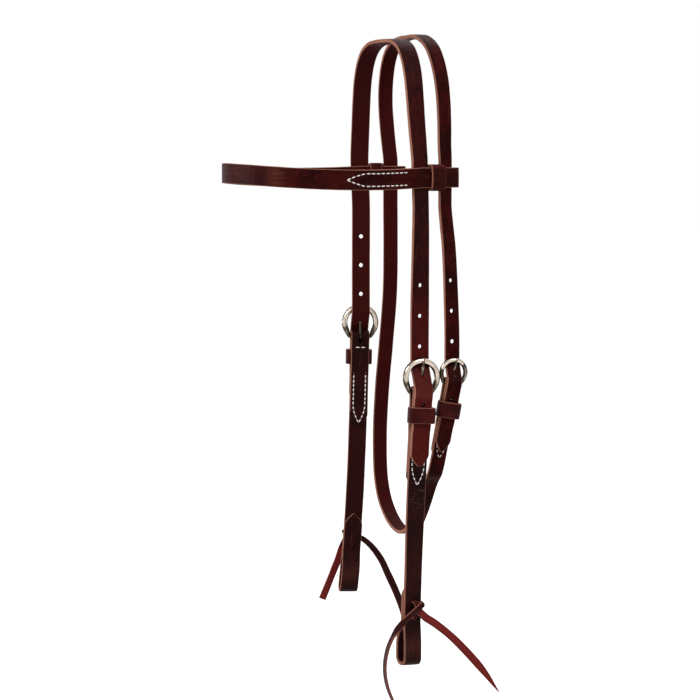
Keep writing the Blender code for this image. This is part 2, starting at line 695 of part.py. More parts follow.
def ring_points(buckle):
    """The ring's centre line in (b, v) from its bar: an arc that runs down into a straight bar."""
    end = RING_ARC_END
    foot = Vector((math.cos(end), math.sin(end))) * buckle.radius
    slide = (foot.y + buckle.bar_drop) / math.cos(end)
    corner = Vector((foot.x + math.sin(end) * slide, -buckle.bar_drop))
    steps = math.ceil((math.pi - 2 * end) / math.radians(9))
    arc = []
    for k in range(steps + 1):
        angle = end + (math.pi - 2 * end) * k / steps
        arc.append((math.cos(angle) * buckle.radius, math.sin(angle) * buckle.radius, 0))
    fillet = buckle.radius * RING_CORNER_share
    corners = arc + [(-corner.x, corner.y, fillet), (corner.x, corner.y, fillet)]
    points = rounded(corners, closed=True)
    shares = []
    thin = buckle.bar_wire / buckle.ring_wire
    for point in points:
        low = (foot.y - point.y) / (foot.y + buckle.bar_drop)
        shares.append(1 + (thin - 1) * min(1.0, max(0.0, low)))
    return [(p.x, p.y + buckle.bar_drop, 0) for p in points], shares


def make_buckle(name, seat, buckle):
    points, shares = ring_points(buckle)
    bar = seat.at(0, 0, -buckle.bar_drop)
    wire(name + "_frame", points, buckle.ring_wire, nickel(name + "_nickel"), seat.axes(), bar, True, shares)
    make_tongue(name + "_tongue", seat, buckle, bar)


def make_tongue(name, seat, buckle, bar):
    """An eye bent round the bar, and a prong through the strap's hole on to the ring."""
    foot = buckle.prong_foot
    tip = buckle.prong_tip
    lift = Vector((0, buckle.bar_drop))
    prong = (tip - foot).normalized()
    leave = math.atan2(prong.y, prong.x) + math.pi / 2
    start = math.radians(70)
    sweep = 2 * math.pi + start - leave
    steps = math.ceil(sweep / TURN_STEP)
    points = []
    for k in range(steps + 1):
        angle = start - sweep * k / steps
        points.append(Vector((math.cos(angle), math.sin(angle))) * buckle.eye_radius)
    points.append((foot + tip) / 2 + lift)
    points.append(tip + lift)
    points.append(tip + lift + prong * buckle.ring_wire)
    shares = [1.0] * (len(points) - 1) + [0.75]
    turned = seat.across.cross(seat.up).dot(seat.outward)
    local = [(0, v, w * turned) for w, v in points]
    wire(name, local, buckle.tongue_wire, nickel(name + "_nickel"), seat.axes(), bar, shares=shares)


def band_spine():
    """The browband's mid line in plan, from its front to the near fold."""
    leg = Vector((LEG_HALF_SPACING, 0))
    back = Vector((-math.sin(SPLAY), math.cos(SPLAY)))
    fold = THROAT_SPACING + THROAT_WIDTH / 2 + LEATHER * 0.6
    keys = [Vector((BAND_HALF_WIDTH * x, -BAND_FRONT * y)) for x, y in BAND_FRONT_shares]
    for run in (-BAND_STRAIGHT, -BAND_STRAIGHT / 2, fold / 2, fold):
        keys.append(leg + back * run)
    keys.insert(0, Vector((-keys[1].x, keys[1].y)))
    points = spline(keys)
    first = min(range(len(points)), key=lambda i: abs(points[i].x))
    spine = [Vector((0, points[first].y))] + [p for p in points[first + 1:] if p.x > 0]
    return spine, fold


def band_half_gap(run, fold):
    """Half the distance between the two layers, at this length forward of the fold."""
    wide = LEATHER + BAND_CLEARANCE
    start = fold + STRAP_WIDTH / 2 + CLEARANCE
    share = min(1.0, max(0.0, (run - start) / (BAND_SEWN_GAP - STRAP_WIDTH / 2)))
    ease = share * share * (3 - 2 * share)
    return wide + (SEWN_LAYER - wide) * ease


def band_point(point):
    share = max(0.0, -point.y / BAND_FRONT)
    rise = BAND_RISE * share * (2 * share - 1) - BAND_SAG * 4 * share * (1 - share)
    return Vector((point.x, point.y, rise - BAND_DROP - BAND_TILT * point.x / LEG_HALF_SPACING))


def make_browband():
    spine, fold = band_spine()
    normals = []
    for i in range(len(spine)):
        way = spine[min(i + 1, len(spine) - 1)] - spine[max(i - 1, 0)]
        normals.append(Vector((way.y, -way.x)).normalized())
    normals[0] = Vector((0, -1))
    lengths = [0.0]
    for a, b in zip(spine, spine[1:]):
        lengths.append(lengths[-1] + (b - a).length)
    total = lengths[-1]
    outer, inner = [], []
    for point, normal, length in zip(spine, normals, lengths):
        gap = band_half_gap(total - length, fold)
        outer.append(point + normal * gap)
        if total - length <= fold + BAND_SEWN_GAP + BAND_SEWN_LENGTH:
            inner.append(point - normal * gap)
    radius = LEATHER + BAND_CLEARANCE
    bend = []
    for k in range(1, 9):
        angle = math.pi * k / 9
        spoke = normals[-1] * math.cos(angle) + (spine[-1] - spine[-2]).normalized() * math.sin(angle)
        bend.append(spine[-1] + spoke * radius)
    half = outer + bend + list(reversed(inner))
    across = Vector((0, 0, 1))
    near = [(band_point(p), across, 1.0) for p in half]
    far = [(band_point(Vector((-p.x, p.y))), across, 1.0) for p in reversed(half[1:])]
    route = thinned(both_pointed(far + near))
    return strap("browband", route, BAND_WIDTH, leather("browband_leather"))


def make_band_keeper(side, name):
    """A loop round both layers of the browband, between the crown strap and the throat latch."""
    back = Vector((-math.sin(SPLAY) * side, math.cos(SPLAY), 0))
    outward = Vector((math.cos(SPLAY) * side, math.sin(SPLAY), 0))
    crown_shift = TOP_FORWARD * (1 - (BAND_DROP / FORWARD_DEPTH) ** 2)
    gap = (STRAP_WIDTH / 2 - crown_shift + THROAT_SPACING - THROAT_WIDTH / 2) / 2
    centre = Vector((side * LEG_HALF_SPACING, 0, -BAND_DROP - BAND_TILT * side)) + back * gap
    deep = LEATHER + BAND_CLEARANCE + LEATHER / 2 + CLEARANCE + LOOP_LEATHER / 2
    tall = BAND_WIDTH / 2 + CLEARANCE * 2 + LOOP_LEATHER / 2
    corner = LOOP_LEATHER * 1.3
    corners = [(deep, tall, corner), (-deep, tall, corner), (-deep, -tall, corner), (deep, -tall, corner)]
    stations = [(centre + outward * w + Vector((0, 0, z)), back, 1.0)
                for w, z in rounded(corners, closed=True)]
    return strap(name, stations, BAND_KEEPER_LENGTH, leather(name + "_leather"), LOOP_LEATHER, centre, True)


def tie_route(side):
    """The tie: out of the upper hole and across, and out of the lower one, round it and back over.

    Corners are (b, w, v, radius), then the width share and the direction across as (b, v). The
    first end and the last are where the free ends begin.
    """
    face = SEWN_LAYER + LEATHER / 2
    level = [face + CLEARANCE + LACE_THICKNESS / 2 + k * (LACE_THICKNESS + CLEARANCE) for k in range(3)]
    upper = TIE_HOLE_UPPER - CHEEK_LENGTH
    lower = TIE_HOLE_LOWER - CHEEK_LENGTH
    pitch = upper - lower
    slim = LACE_SQUEEZE_share
    knot = KNOT_SQUEEZE_share
    tight = LACE_THICKNESS * 0.75
    bend = LACE_THICKNESS + CLEARANCE
    apex = (LACE_WIDTH * 1.02, upper - LACE_THICKNESS / 2)
    leave = (-LACE_WIDTH * 1.4, lower + pitch * TIE_LAST_shares[side])
    wide, deep = TIE_FIRST_shares[side]
    corners = [
        (LACE_WIDTH * wide, level[1], upper - pitch * deep, 0, 1.0),
        (LACE_WIDTH * 0.62, level[1], upper - pitch * 0.55, LACE_WIDTH, 1.0),
        (0, level[1], upper, tight, slim),
        (0, -level[0], upper, tight, slim),
        (0, -level[0], lower, tight, slim),
        (0, level[0], lower, tight, slim),
        (apex[0], level[0], apex[1], bend, knot),
        (apex[0], level[2], apex[1], bend, knot),
        (leave[0], level[2], leave[1], 0, knot),
    ]
    return [(b * side, w, v, radius, share) for b, w, v, radius, share in corners]


def tie_across(corners, i, side):
    """Direction across the lace at a corner, as (b, v): square to its run on the strap's face."""
    runs = []
    for before, after in zip(corners[max(0, i - 1):i + 2], corners[max(1, i):i + 2]):
        run = Vector((after[0] - before[0], after[2] - before[2]))
        if run.length > CLEARANCE:
            runs.append(run.normalized())
    crossings = [Vector((-run.y, run.x)) for run in runs]
    whole = Vector((0, 0))
    for crossing in crossings:
        whole += crossing if crossing.x * side < 0 else -crossing
    return whole.normalized()


def make_tie(side, name):
    seat = SEATS[side]
    corners = tie_route(side)
    stations = []
    for i, corner in enumerate(corners):
        points = [Vector(corner[:3])]
        if 0 < i < len(corners) - 1:
            points = rounded([(*corners[i - 1][:3], 0), corner[:4], (*corners[i + 1][:3], 0)])[1:-1]
        ab, av = tie_across(corners, i, side)
        for point in points:
            across = seat.turned(point.z)[0] * ab + seat.up * av
            here = (seat.at(*point), across.normalized(), corner[4])
            if stations:
                stations += between(stations[-1], here)
            stations.append(here)
    stations = square_across(stations)
    strap(name, stations, LACE_WIDTH, leather(name + "_leather", LACE_COLOUR), LACE_THICKNESS, seat.origin)
    return stations


def between(before, after):
    """Stations that carry a lace's twist and taper over a straight."""
    twist = before[1].angle(after[1])
    count = max(math.ceil(twist / TURN_STEP), math.ceil((after[0] - before[0]).length / LACE_WIDTH))
    return [(before[0].lerp(after[0], k / count), before[1].slerp(after[1], k / count),
             before[2] + (after[2] - before[2]) * k / count) for k in range(1, count)]


def make_tie_end(name, last, before_last, side, points, facing, turn_share, point_share):
    """A free end of a tie: a flat lace on from the knot, its face turning as it goes."""
    start, across, squeeze = last
    along = (start - before_last[0]).normalized()
    first = start + along * CLEARANCE
    route = spline([first, first + along * LACE_THICKNESS] + [Vector(p) for p in points], LACE_WIDTH)
    first_face = across.cross(along)
    first_face *= math.copysign(1, first_face.x * side)
    last_face = Vector(facing) * Vector((side, 1, 1))
    stations = []
    for i, point in enumerate(route):
        way = (route[min(i + 1, len(route) - 1)] - route[max(i - 1, 0)]).normalized()
        turned = min(1.0, i / len(route) / turn_share)
        face = first_face.lerp(last_face, turned)
        stations.append((point, way.cross(face).normalized(), squeeze + (1 - squeeze) * turned))
    stations[0] = (first, along.cross(first_face).normalized(), squeeze)
    if point_share > 0:
        stations = pointed(stations, LACE_WIDTH * point_share)
    return strap(name, stations, LACE_WIDTH, leather(name + "_leather", LACE_COLOUR), LACE_THICKNESS, first)


def build():
    make_crown()
    make_throat_latch()
    make_browband()
    for side, word in ((1, "near"), (-1, "far")):
        seat = SEATS[side]
        make_band_keeper(side, "browband_keeper_" + word)
        make_cheek_piece(side, "cheek_piece_" + word)
        make_keeper("cheek_keeper_" + word, seat, STRAP_WIDTH)
        make_buckle("cheek_buckle_" + word, seat, CHEEK_BUCKLE)
        tie = make_tie(side, "bit_tie_" + word)
        upper_end, lower_end = ("rear", "front") if side == 1 else ("front", "rear")
        name = "tie_end_%s_" % word
        make_tie_end(name + upper_end, tie[0], tie[1], side, *TIE_ENDS[side][0])
        make_tie_end(name + lower_end, tie[-1], tie[-2], side, *TIE_ENDS[side][1])
    make_keeper("throat_keeper", THROAT_SEAT, THROAT_WIDTH)
    make_buckle("throat_buckle", THROAT_SEAT, THROAT_BUCKLE)


build()
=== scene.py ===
"""Looks of the western headstall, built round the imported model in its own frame, in metres."""

import math

import bmesh
import bpy
from mathutils import Matrix, Vector, noise


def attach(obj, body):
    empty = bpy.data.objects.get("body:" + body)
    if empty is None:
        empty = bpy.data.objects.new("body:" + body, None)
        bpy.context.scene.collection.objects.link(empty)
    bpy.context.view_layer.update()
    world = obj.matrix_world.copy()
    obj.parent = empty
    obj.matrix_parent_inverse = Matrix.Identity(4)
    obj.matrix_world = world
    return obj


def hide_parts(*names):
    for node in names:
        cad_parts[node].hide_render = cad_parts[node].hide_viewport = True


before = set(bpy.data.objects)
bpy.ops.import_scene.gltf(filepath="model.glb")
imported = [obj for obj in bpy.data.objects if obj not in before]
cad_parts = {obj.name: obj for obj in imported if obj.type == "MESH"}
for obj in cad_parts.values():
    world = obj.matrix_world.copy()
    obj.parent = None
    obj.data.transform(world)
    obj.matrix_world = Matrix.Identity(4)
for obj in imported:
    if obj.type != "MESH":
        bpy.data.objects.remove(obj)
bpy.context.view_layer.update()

# Camera, fitted to the photo
AZIMUTH = math.radians(70.387)
ELEVATION = math.radians(4.7347)
FOCAL_PIXELS = 2262.9
IMAGE_PIXELS = 700
SENSOR = 36.0
CAMERA_BACK, CAMERA_RIGHT, CAMERA_UP = 1.91875, -0.03403, -0.25996
CAMERA_NEAR = 0.05

# Stage. A lamp is its name, its place back, right and up in the view from the middle, its size and power
STAGE_MIDDLE = Vector((0, -0.02, -0.26))
LAMPS = (("key", 1.3, -1.3, 1.1, 1.1, 21), ("fill", 1.3, 0.9, 1.3, 0.8, 15),
         ("rear", -1.2, 0.8, 1.3, 1.0, 12), ("front", -0.05, -1.7, 0.15, 0.7, 10))
WORLD_LIGHT = 0.42
FLOOR_HEIGHT = -0.60
FLOOR_RADIUS = 14.0
FLOOR_GLOW = 0.80

# Straps
STRAP_WIDTH = 0.0159
THROAT_WIDTH = 0.0127
LEATHER = 0.0032
LOOP_LEATHER = 0.0021
CLEARANCE = 0.0003

# Poll and legs. An arch is (share of the way out to the leg, share of the drop) from the poll down
LEG_HALF_SPACING = 0.0722
ARCH_DROP = 0.100
STRAIGHT_LEG = 0.036
SPLAY = math.radians(18)
TOP_FORWARD = 0.003
FORWARD_DEPTH = 0.140
THROAT_SPACING = 0.0259
THROAT_RISE = 0.0040
THROAT_TOP_FORWARD = 0.0047
THROAT_FORWARD_DEPTH = 0.100
CROWN_ARCH = ((0.0, -0.001), (0.16, 0.0008), (0.36, 0.011), (0.55, 0.055), (0.70, 0.141), (0.817, 0.289),
              (0.884, 0.488), (0.932, 0.70), (0.975, 0.872))
THROAT_ARCH = {1: ((0.0, 0.0), (0.20, 0.0), (0.42, 0.028), (0.65, 0.088), (0.84, 0.195), (0.985, 0.35),
                   (1.045, 0.52), (1.045, 0.72), (1.015, 0.87)),
               -1: ((0.0, 0.0), (0.20, 0.0), (0.47, 0.018), (0.70, 0.07), (0.87, 0.17), (0.995, 0.35),
                    (1.04, 0.52), (1.03, 0.72), (1.01, 0.87))}

# Buckles. A ring is its radius and the wire radii of its arc, its bar and its tongue
BUCKLE_DROP = 0.2600
CROWN_SHIFT = 0.0180
BUCKLE_HALF_SPACING = 0.0745
CHEEK_RING = (0.0139, 0.0025, 0.0018, 0.0011)
THROAT_RING = (0.0105, 0.0019, 0.0015, 0.0010)
BAR_DROP_SHARE = 0.89
RING_CORNER_SHARE = 0.15
BEND_BELOW_TOP_SHARE = 1.5
RING_ARC_END = math.radians(-25)
CHEEK_LEAN = {1: math.radians(3.3), -1: math.radians(1.0)}
CHEEK_YAW = {1: 0.0, -1: math.radians(12)}
CHEEK_TWIST = {1: math.radians(10), -1: 0.0}
CHEEK_SWAY = {1: -0.0046, -1: 0.0075}
THROAT_BUCKLE_AT = (0.0735, 0.0290, -0.2747)
THROAT_YAW = math.radians(-2)
THROAT_LEAN = math.radians(9.5)
THROAT_TILT = math.radians(4)
TONGUE_TRAVEL = math.radians(4)
TONGUE_END = (0.99, 0.93, 0.82, 0.66, 0.42)
EYE_START = math.radians(70)
# How dark a tongue's eye is painted with shade, and how much less its tip
EYE_PAINTED_SHADE = 0.80
TIP_PAINTED_SHADE_LESS = 0.65
# The throat ring's painted light: the side painted brightest, turned back from its top, and how strong its
# painted shade is
THROAT_PAINTED_LIT_SIDE = math.radians(-20)
THROAT_PAINTED_SHADE = 2.4

# Holes
HOLE_PITCH = 0.0254
HOLE_RADIUS = 0.0018
HOLES_ABOVE = 3
HOLES_BELOW = 1
HOLE_SIDES = 28
HOLE_FLARE = 0.00025
# Hole walls render as a darker face tone without a tan cut edge: dyed walls and painted shade inside the hole
HOLE_WALL = {"UVMap": (0.01, 0.003), "edges": (0.16, 0.5)}

# Cheek pieces and keepers. A point is (share of its length, share of the width)
CHEEK_LENGTH = 0.241
CHEEK_TAIL = 0.0735
CHEEK_SEWN_END = 0.092
CHEEK_FLAP = 0.070
BIT_LOOP_WIDTH = 0.0125
BIT_LOOP_HEIGHT = 0.0365
BIT_LOOP_ROUND = 0.42
KEEPER_HEIGHT = 0.0132
KEEPER_TOP = 0.0242
KEEPER_SLACK = 0.0016
KEEPER_BOW = 0.0007
POINT_LENGTH = 0.0100
POINT = ((0.0, 1.0), (0.12, 0.975), (0.24, 0.915), (0.37, 0.82), (0.50, 0.70), (0.64, 0.555), (0.78, 0.40),
         (0.90, 0.24), (1.0, 0.12))

# Throat latch
THROAT_TAIL = 0.0665
THROAT_SEWN_END = 0.075
THROAT_LOW = 0.4190
THROAT_LOOP_HALF_WIDTH = 0.0735
THROAT_LOW_Y = 0.0150
# From the far leg round to the buckle, shares of half width, way to the lowest y and drop
THROAT_LOOP = ((-0.872, 0.03, 0.266), (-0.94, 0.24, 0.444), (-0.99, 0.48, 0.59), (-1.0, 0.65, 0.74),
               (-0.886, 0.83, 0.871), (-0.70, 0.94, 0.932), (-0.362, 1.0, 0.985), (0.0, 1.0, 1.0),
               (0.28, 1.0, 0.972), (0.50, 1.0, 0.917), (0.69, 0.90, 0.843))
# Down the near leg to the buckle, shares of the way down and out
THROAT_NEAR = ((0.30, 0.55), (0.62, 0.84))

# Browband. Its plan is (share of half width, share of the front) from the front to the leg
BAND_WIDTH = 0.0166
BAND_DROP = 0.1125
BAND_FRONT = 0.1427
BAND_RISE = 0.0028
BAND_SAG = 0.0015
BAND_TILT = 0.0006
BAND_HALF_WIDTH = 0.0828
BAND_STRAIGHT = 0.020
BAND_SEWN_GAP = 0.0145
BAND_SEWN_LENGTH = 0.056
BAND_CLEARANCE = 0.0004
BAND_KEEPER_LENGTH = 0.0102
# The keeper's outer face is bowed and spread
BAND_KEEPER_BOW = 0.0012
BAND_KEEPER_FLARE = 0.40
BAND_FOLD = THROAT_SPACING + THROAT_WIDTH / 2 + LEATHER * 0.6
BAND_BEND_STEPS = 18
# Where the browband's painted highlight lies: its distance from the front middle and its half width
BAND_PAINTED_HIGHLIGHT = (0.062, 0.014)
BAND_PLAN = ((0.0, 1.0), (0.225, 0.982), (0.53, 0.896), (0.79, 0.732), (0.945, 0.525), (0.997, 0.315))

# Ties
LACE_WIDTH = 0.0065
LACE_THICKNESS = 0.0020
TIE_HOLE_UPPER = 0.0545
TIE_HOLE_LOWER = 0.0395
# The leather closes round the lace in its holes
TIE_SLIT_WIDTH = 0.0040
TIE_SLIT_HEIGHT = 0.0026
LACE_SQUEEZE = 0.54
KNOT_SQUEEZE = 0.76
# Where a tie's ends leave it: laces aside and pitches down from the upper hole, pitches up from the lower
TIE_FIRST = {1: (1.35, 0.80), -1: (1.06, 1.05)}
TIE_LAST = {1: 0.15, -1: 0.45}
NEAR_REAR_TIE = ((0.0804, 0.0112, -0.4842), (0.0815, 0.0250, -0.4957), (0.0830, 0.0394, -0.5106),
                 (0.0840, 0.0534, -0.5269), (0.0845, 0.0666, -0.5448))
NEAR_FRONT_TIE = ((0.0850, -0.0243, -0.4850), (0.0852, -0.0302, -0.4935), (0.0852, -0.0342, -0.5036),
                  (0.0852, -0.0360, -0.5168), (0.0852, -0.0346, -0.5290), (0.0852, -0.0310, -0.5400),
                  (0.0850, -0.0255, -0.5510))
FAR_FRONT_TIE = ((-0.0845, -0.0172, -0.4550), (-0.0862, -0.0212, -0.4660), (-0.0880, -0.0260, -0.4790),
                 (-0.0890, -0.0309, -0.4912))
FAR_REAR_TIE = ((-0.0855, 0.0149, -0.4455), (-0.0862, 0.0244, -0.4581), (-0.0870, 0.0312, -0.4717),
                (-0.0874, 0.0390, -0.4880), (-0.0876, 0.0450, -0.5030), (-0.0877, 0.0490, -0.5150))
FACING_OUT = (1.0, 0.0, 0.0)
FACING_FRONT = (-0.05, -1.0, 0.0)
SLOW_TURN = 0.5
QUICK_TURN = 0.25

# Fineness
SHARP = math.radians(34)
TURN_STEP = math.radians(6)
RING_TURN = math.radians(3)
EYE_TURN = math.radians(8)
SPLINE_STEP = 0.0020
STRAIGHT_STEP = 0.004
LOOP_STEP = 0.0016
LACE_STEP = 0.0015
KNOT_STEP = 0.0012
RING_STEP = 0.0012
PRONG_STEPS = 14
RING_SIDES = 24
PRONG_SIDES = 16
THREAD_SIDES = 10

# Leather. Round the rim, (angle from the face in degrees, cut edge share)
CORNER = 0.00075
RIM = ((30, 0.45), (62, 0.70), (90, 1.0))
RIM_RUB = 0.0011
DOME = 0.00014
RIPPLE = 0.00006
RIPPLE_SCALE = 140
EDGE_WAVE = 0.010
EDGE_WAVE_SCALE = 55

# Thread. Half a stitch is (share of its length, lift and thickness in radii of the thread)
THREAD_RADIUS = 0.00048
STITCH_PITCH = 0.0041
STITCH_SHARE = 0.70
STITCH_SLACK = 0.05
HALF_STITCH = ((0.0, -1.5, 0.8), (0.035, -0.55, 0.95), (0.12, 0.0, 1.0), (0.32, 0.22, 1.05),
               (0.5, 0.28, 1.05))
STITCH = HALF_STITCH + tuple((1 - share, lift, thick) for share, lift, thick in HALF_STITCH[-2::-1])
THREAD_DEPTH = 0.45

# Sewing below a buckle: its half width, top, end of the rows and tip
CHEEK_SEWING = (0.00525, -0.0422, -0.0737, -0.0889)
THROAT_SEWING = (0.0040, -0.0422, -0.0600, -0.0720)
SEWN_BAR_RISE = 0.0022
SEWN_BAR_SHARE = 0.92
SLANT_OVERLAP = 0.0004
# On the browband: its half width, start, end of the rows, start of the slants and their length
BAND_SEWING = (0.0051, 0.0164, 0.0540, 0.0543, 0.0150)

SIDES = ((1, "near"), (-1, "far"))
UP = Vector((0, 0, 1))


def add(name, data):
    """An object of this data, in the scene."""
    item = bpy.data.objects.new(name, data)
    bpy.context.scene.collection.objects.link(item)
    return item


def show(name, mesh, material):
    mesh.materials.append(material)
    return add(name, mesh)


class Nodes:
    """Short calls for the nodes of a material or the world."""

    def __init__(self, owner):
        owner.use_nodes = True
        self.owner, self.tree = owner, owner.node_tree
        self.shader = self.tree.nodes.get("Principled BSDF")

    def feed(self, node, inputs):
        """Gives each input, by name or number, a value or a link."""
        for key, value in inputs.items():
            if isinstance(value, bpy.types.NodeSocket):
                self.tree.links.new(value, node.inputs[key])
            else:
                node.inputs[key].default_value = value
        return node

    def new(self, kind, inputs=None, **attributes):
        node = self.tree.nodes.new(kind)
        for key, value in attributes.items():
            setattr(node, key, value)
        return self.feed(node, inputs or {})

    def layer(self, name):
        return self.new("ShaderNodeUVMap", uv_map=name).outputs["UV"]

    def parts(self, name):
        """Both values of a surface layer."""
        return self.new("ShaderNodeSeparateXYZ", {0: self.layer(name)}).outputs[:2]

    def place(self, along=1000, across=1000, shift=0.0, aside=0.0):
        """Surface coordinates: along the strap and across it, times these scales."""
        inputs = {"Vector": self.layer("UVMap"), "Scale": (along, across, 1), "Location": (shift, aside, 0)}
        return self.new("ShaderNodeMapping", inputs).outputs["Vector"]

    def noise(self, vector, scale, detail, roughness):
        inputs = {"Vector": vector, "Scale": scale, "Detail": detail, "Roughness": roughness}
        return self.new("ShaderNodeTexNoise", inputs).outputs["Fac"]

    def ramp(self, value, low, high, start=0.0, end=1.0):
        inputs = {"Value": value, "From Min": low, "From Max": high, "To Min": start, "To Max": end}
        return self.new("ShaderNodeMapRange", inputs, interpolation_type="SMOOTHSTEP").outputs["Result"]

    def math(self, operation, *values):
        return self.new("ShaderNodeMath", dict(enumerate(values)), operation=operation).outputs[0]

    def add(self, a, b, share=1.0):
        return self.math("MULTIPLY_ADD", b, share, a)

    def distance(self, value, place):
        return self.math("ABSOLUTE", self.math("SUBTRACT", value, place))

    def mix(self, share, a, b):
        inputs = {"Factor": share, "A": a, "B": b}
        return self.new("ShaderNodeMix", inputs, data_type="RGBA").outputs["Result"]

    def bump(self, height, strength, distance, **more):
        inputs = {"Height": height, "Strength": strength, "Distance": distance, **more}
        return self.new("ShaderNodeBump", inputs).outputs["Normal"]

    def seen_by(self, *rays):
        """1 for rays of these kinds and 0 for all others."""
        path = self.new("ShaderNodeLightPath").outputs
        seen = path[rays[0]]
        for ray in rays[1:]:
            seen = self.math("MAXIMUM", seen, path[ray])
        return seen


# Stage

def white_world():
    """White where it is seen, and a soft light elsewhere."""
    n = Nodes(bpy.data.worlds.new("studio"))
    n.tree.nodes.clear()
    seen = n.seen_by("Is Camera Ray", "Is Glossy Ray", "Is Transmission Ray")
    soft = n.new("ShaderNodeBackground", {"Color": (0.96, 0.97, 1.0, 1.0), "Strength": WORLD_LIGHT})
    white = n.new("ShaderNodeBackground", {"Color": (1.0, 1.0, 1.0, 1.0), "Strength": 1.0})
    both = n.new("ShaderNodeMixShader", {0: seen, 1: soft.outputs[0], 2: white.outputs[0]})
    n.new("ShaderNodeOutputWorld", {"Surface": both.outputs[0]})
    bpy.context.scene.world = n.owner


def make_floor():
    n = Nodes(bpy.data.materials.new("pale_floor"))
    n.tree.nodes.clear()
    diffuse = n.new("ShaderNodeBsdfDiffuse", {"Color": (0.55, 0.55, 0.55, 1)})
    seen = n.seen_by("Is Camera Ray", "Is Glossy Ray")
    glow = n.new("ShaderNodeEmission", {"Strength": n.math("MULTIPLY", seen, FLOOR_GLOW)})
    both = n.new("ShaderNodeAddShader", {0: diffuse.outputs[0], 1: glow.outputs[0]})
    n.new("ShaderNodeOutputMaterial", {"Surface": both.outputs[0]})
    bm = bmesh.new()
    bmesh.ops.create_circle(bm, cap_ends=True, segments=96, radius=FLOOR_RADIUS)
    mesh = bpy.data.meshes.new("floor")
    bm.to_mesh(mesh)
    bm.free()
    floor = show("floor", mesh, n.owner)
    floor.location = (0, 0, FLOOR_HEIGHT)


def make_stage():
    """The camera as fitted to the photo, the lamps placed in its view, the world and the floor."""
    back = Vector((math.cos(ELEVATION) * math.sin(AZIMUTH), -math.cos(ELEVATION) * math.cos(AZIMUTH),
                   math.sin(ELEVATION)))
    right = Vector((math.cos(AZIMUTH), math.sin(AZIMUTH), 0))
    up = back.cross(right)
    camera = add("camera", bpy.data.cameras.new("camera"))
    camera.data.sensor_width = SENSOR
    camera.data.lens = FOCAL_PIXELS * SENSOR / IMAGE_PIXELS
    camera.data.clip_start = CAMERA_NEAR
    place = Matrix((right, up, back)).transposed().to_4x4()
    place.translation = back * CAMERA_BACK + right * CAMERA_RIGHT + up * CAMERA_UP
    camera.matrix_world = place
    bpy.context.scene.camera = camera
    for name, behind, aside, above, size, power in LAMPS:
        lamp = add(name, bpy.data.lights.new(name, "AREA"))
        lamp.data.shape = "DISK"
        lamp.data.size = size
        lamp.data.energy = power
        away = back * behind + right * aside + up * above
        lamp.location = STAGE_MIDDLE + away
        lamp.rotation_euler = (-away).to_track_quat("-Z", "Y").to_euler()
    white_world()
    make_floor()
    bpy.context.scene.view_settings.view_transform = "Standard"


# Materials

# Greyish tone of the worn crease lines, which also stands for a painted sheen on them
CREASE_WEAR_AND_SHEEN = (0.082, 0.036, 0.028, 1)


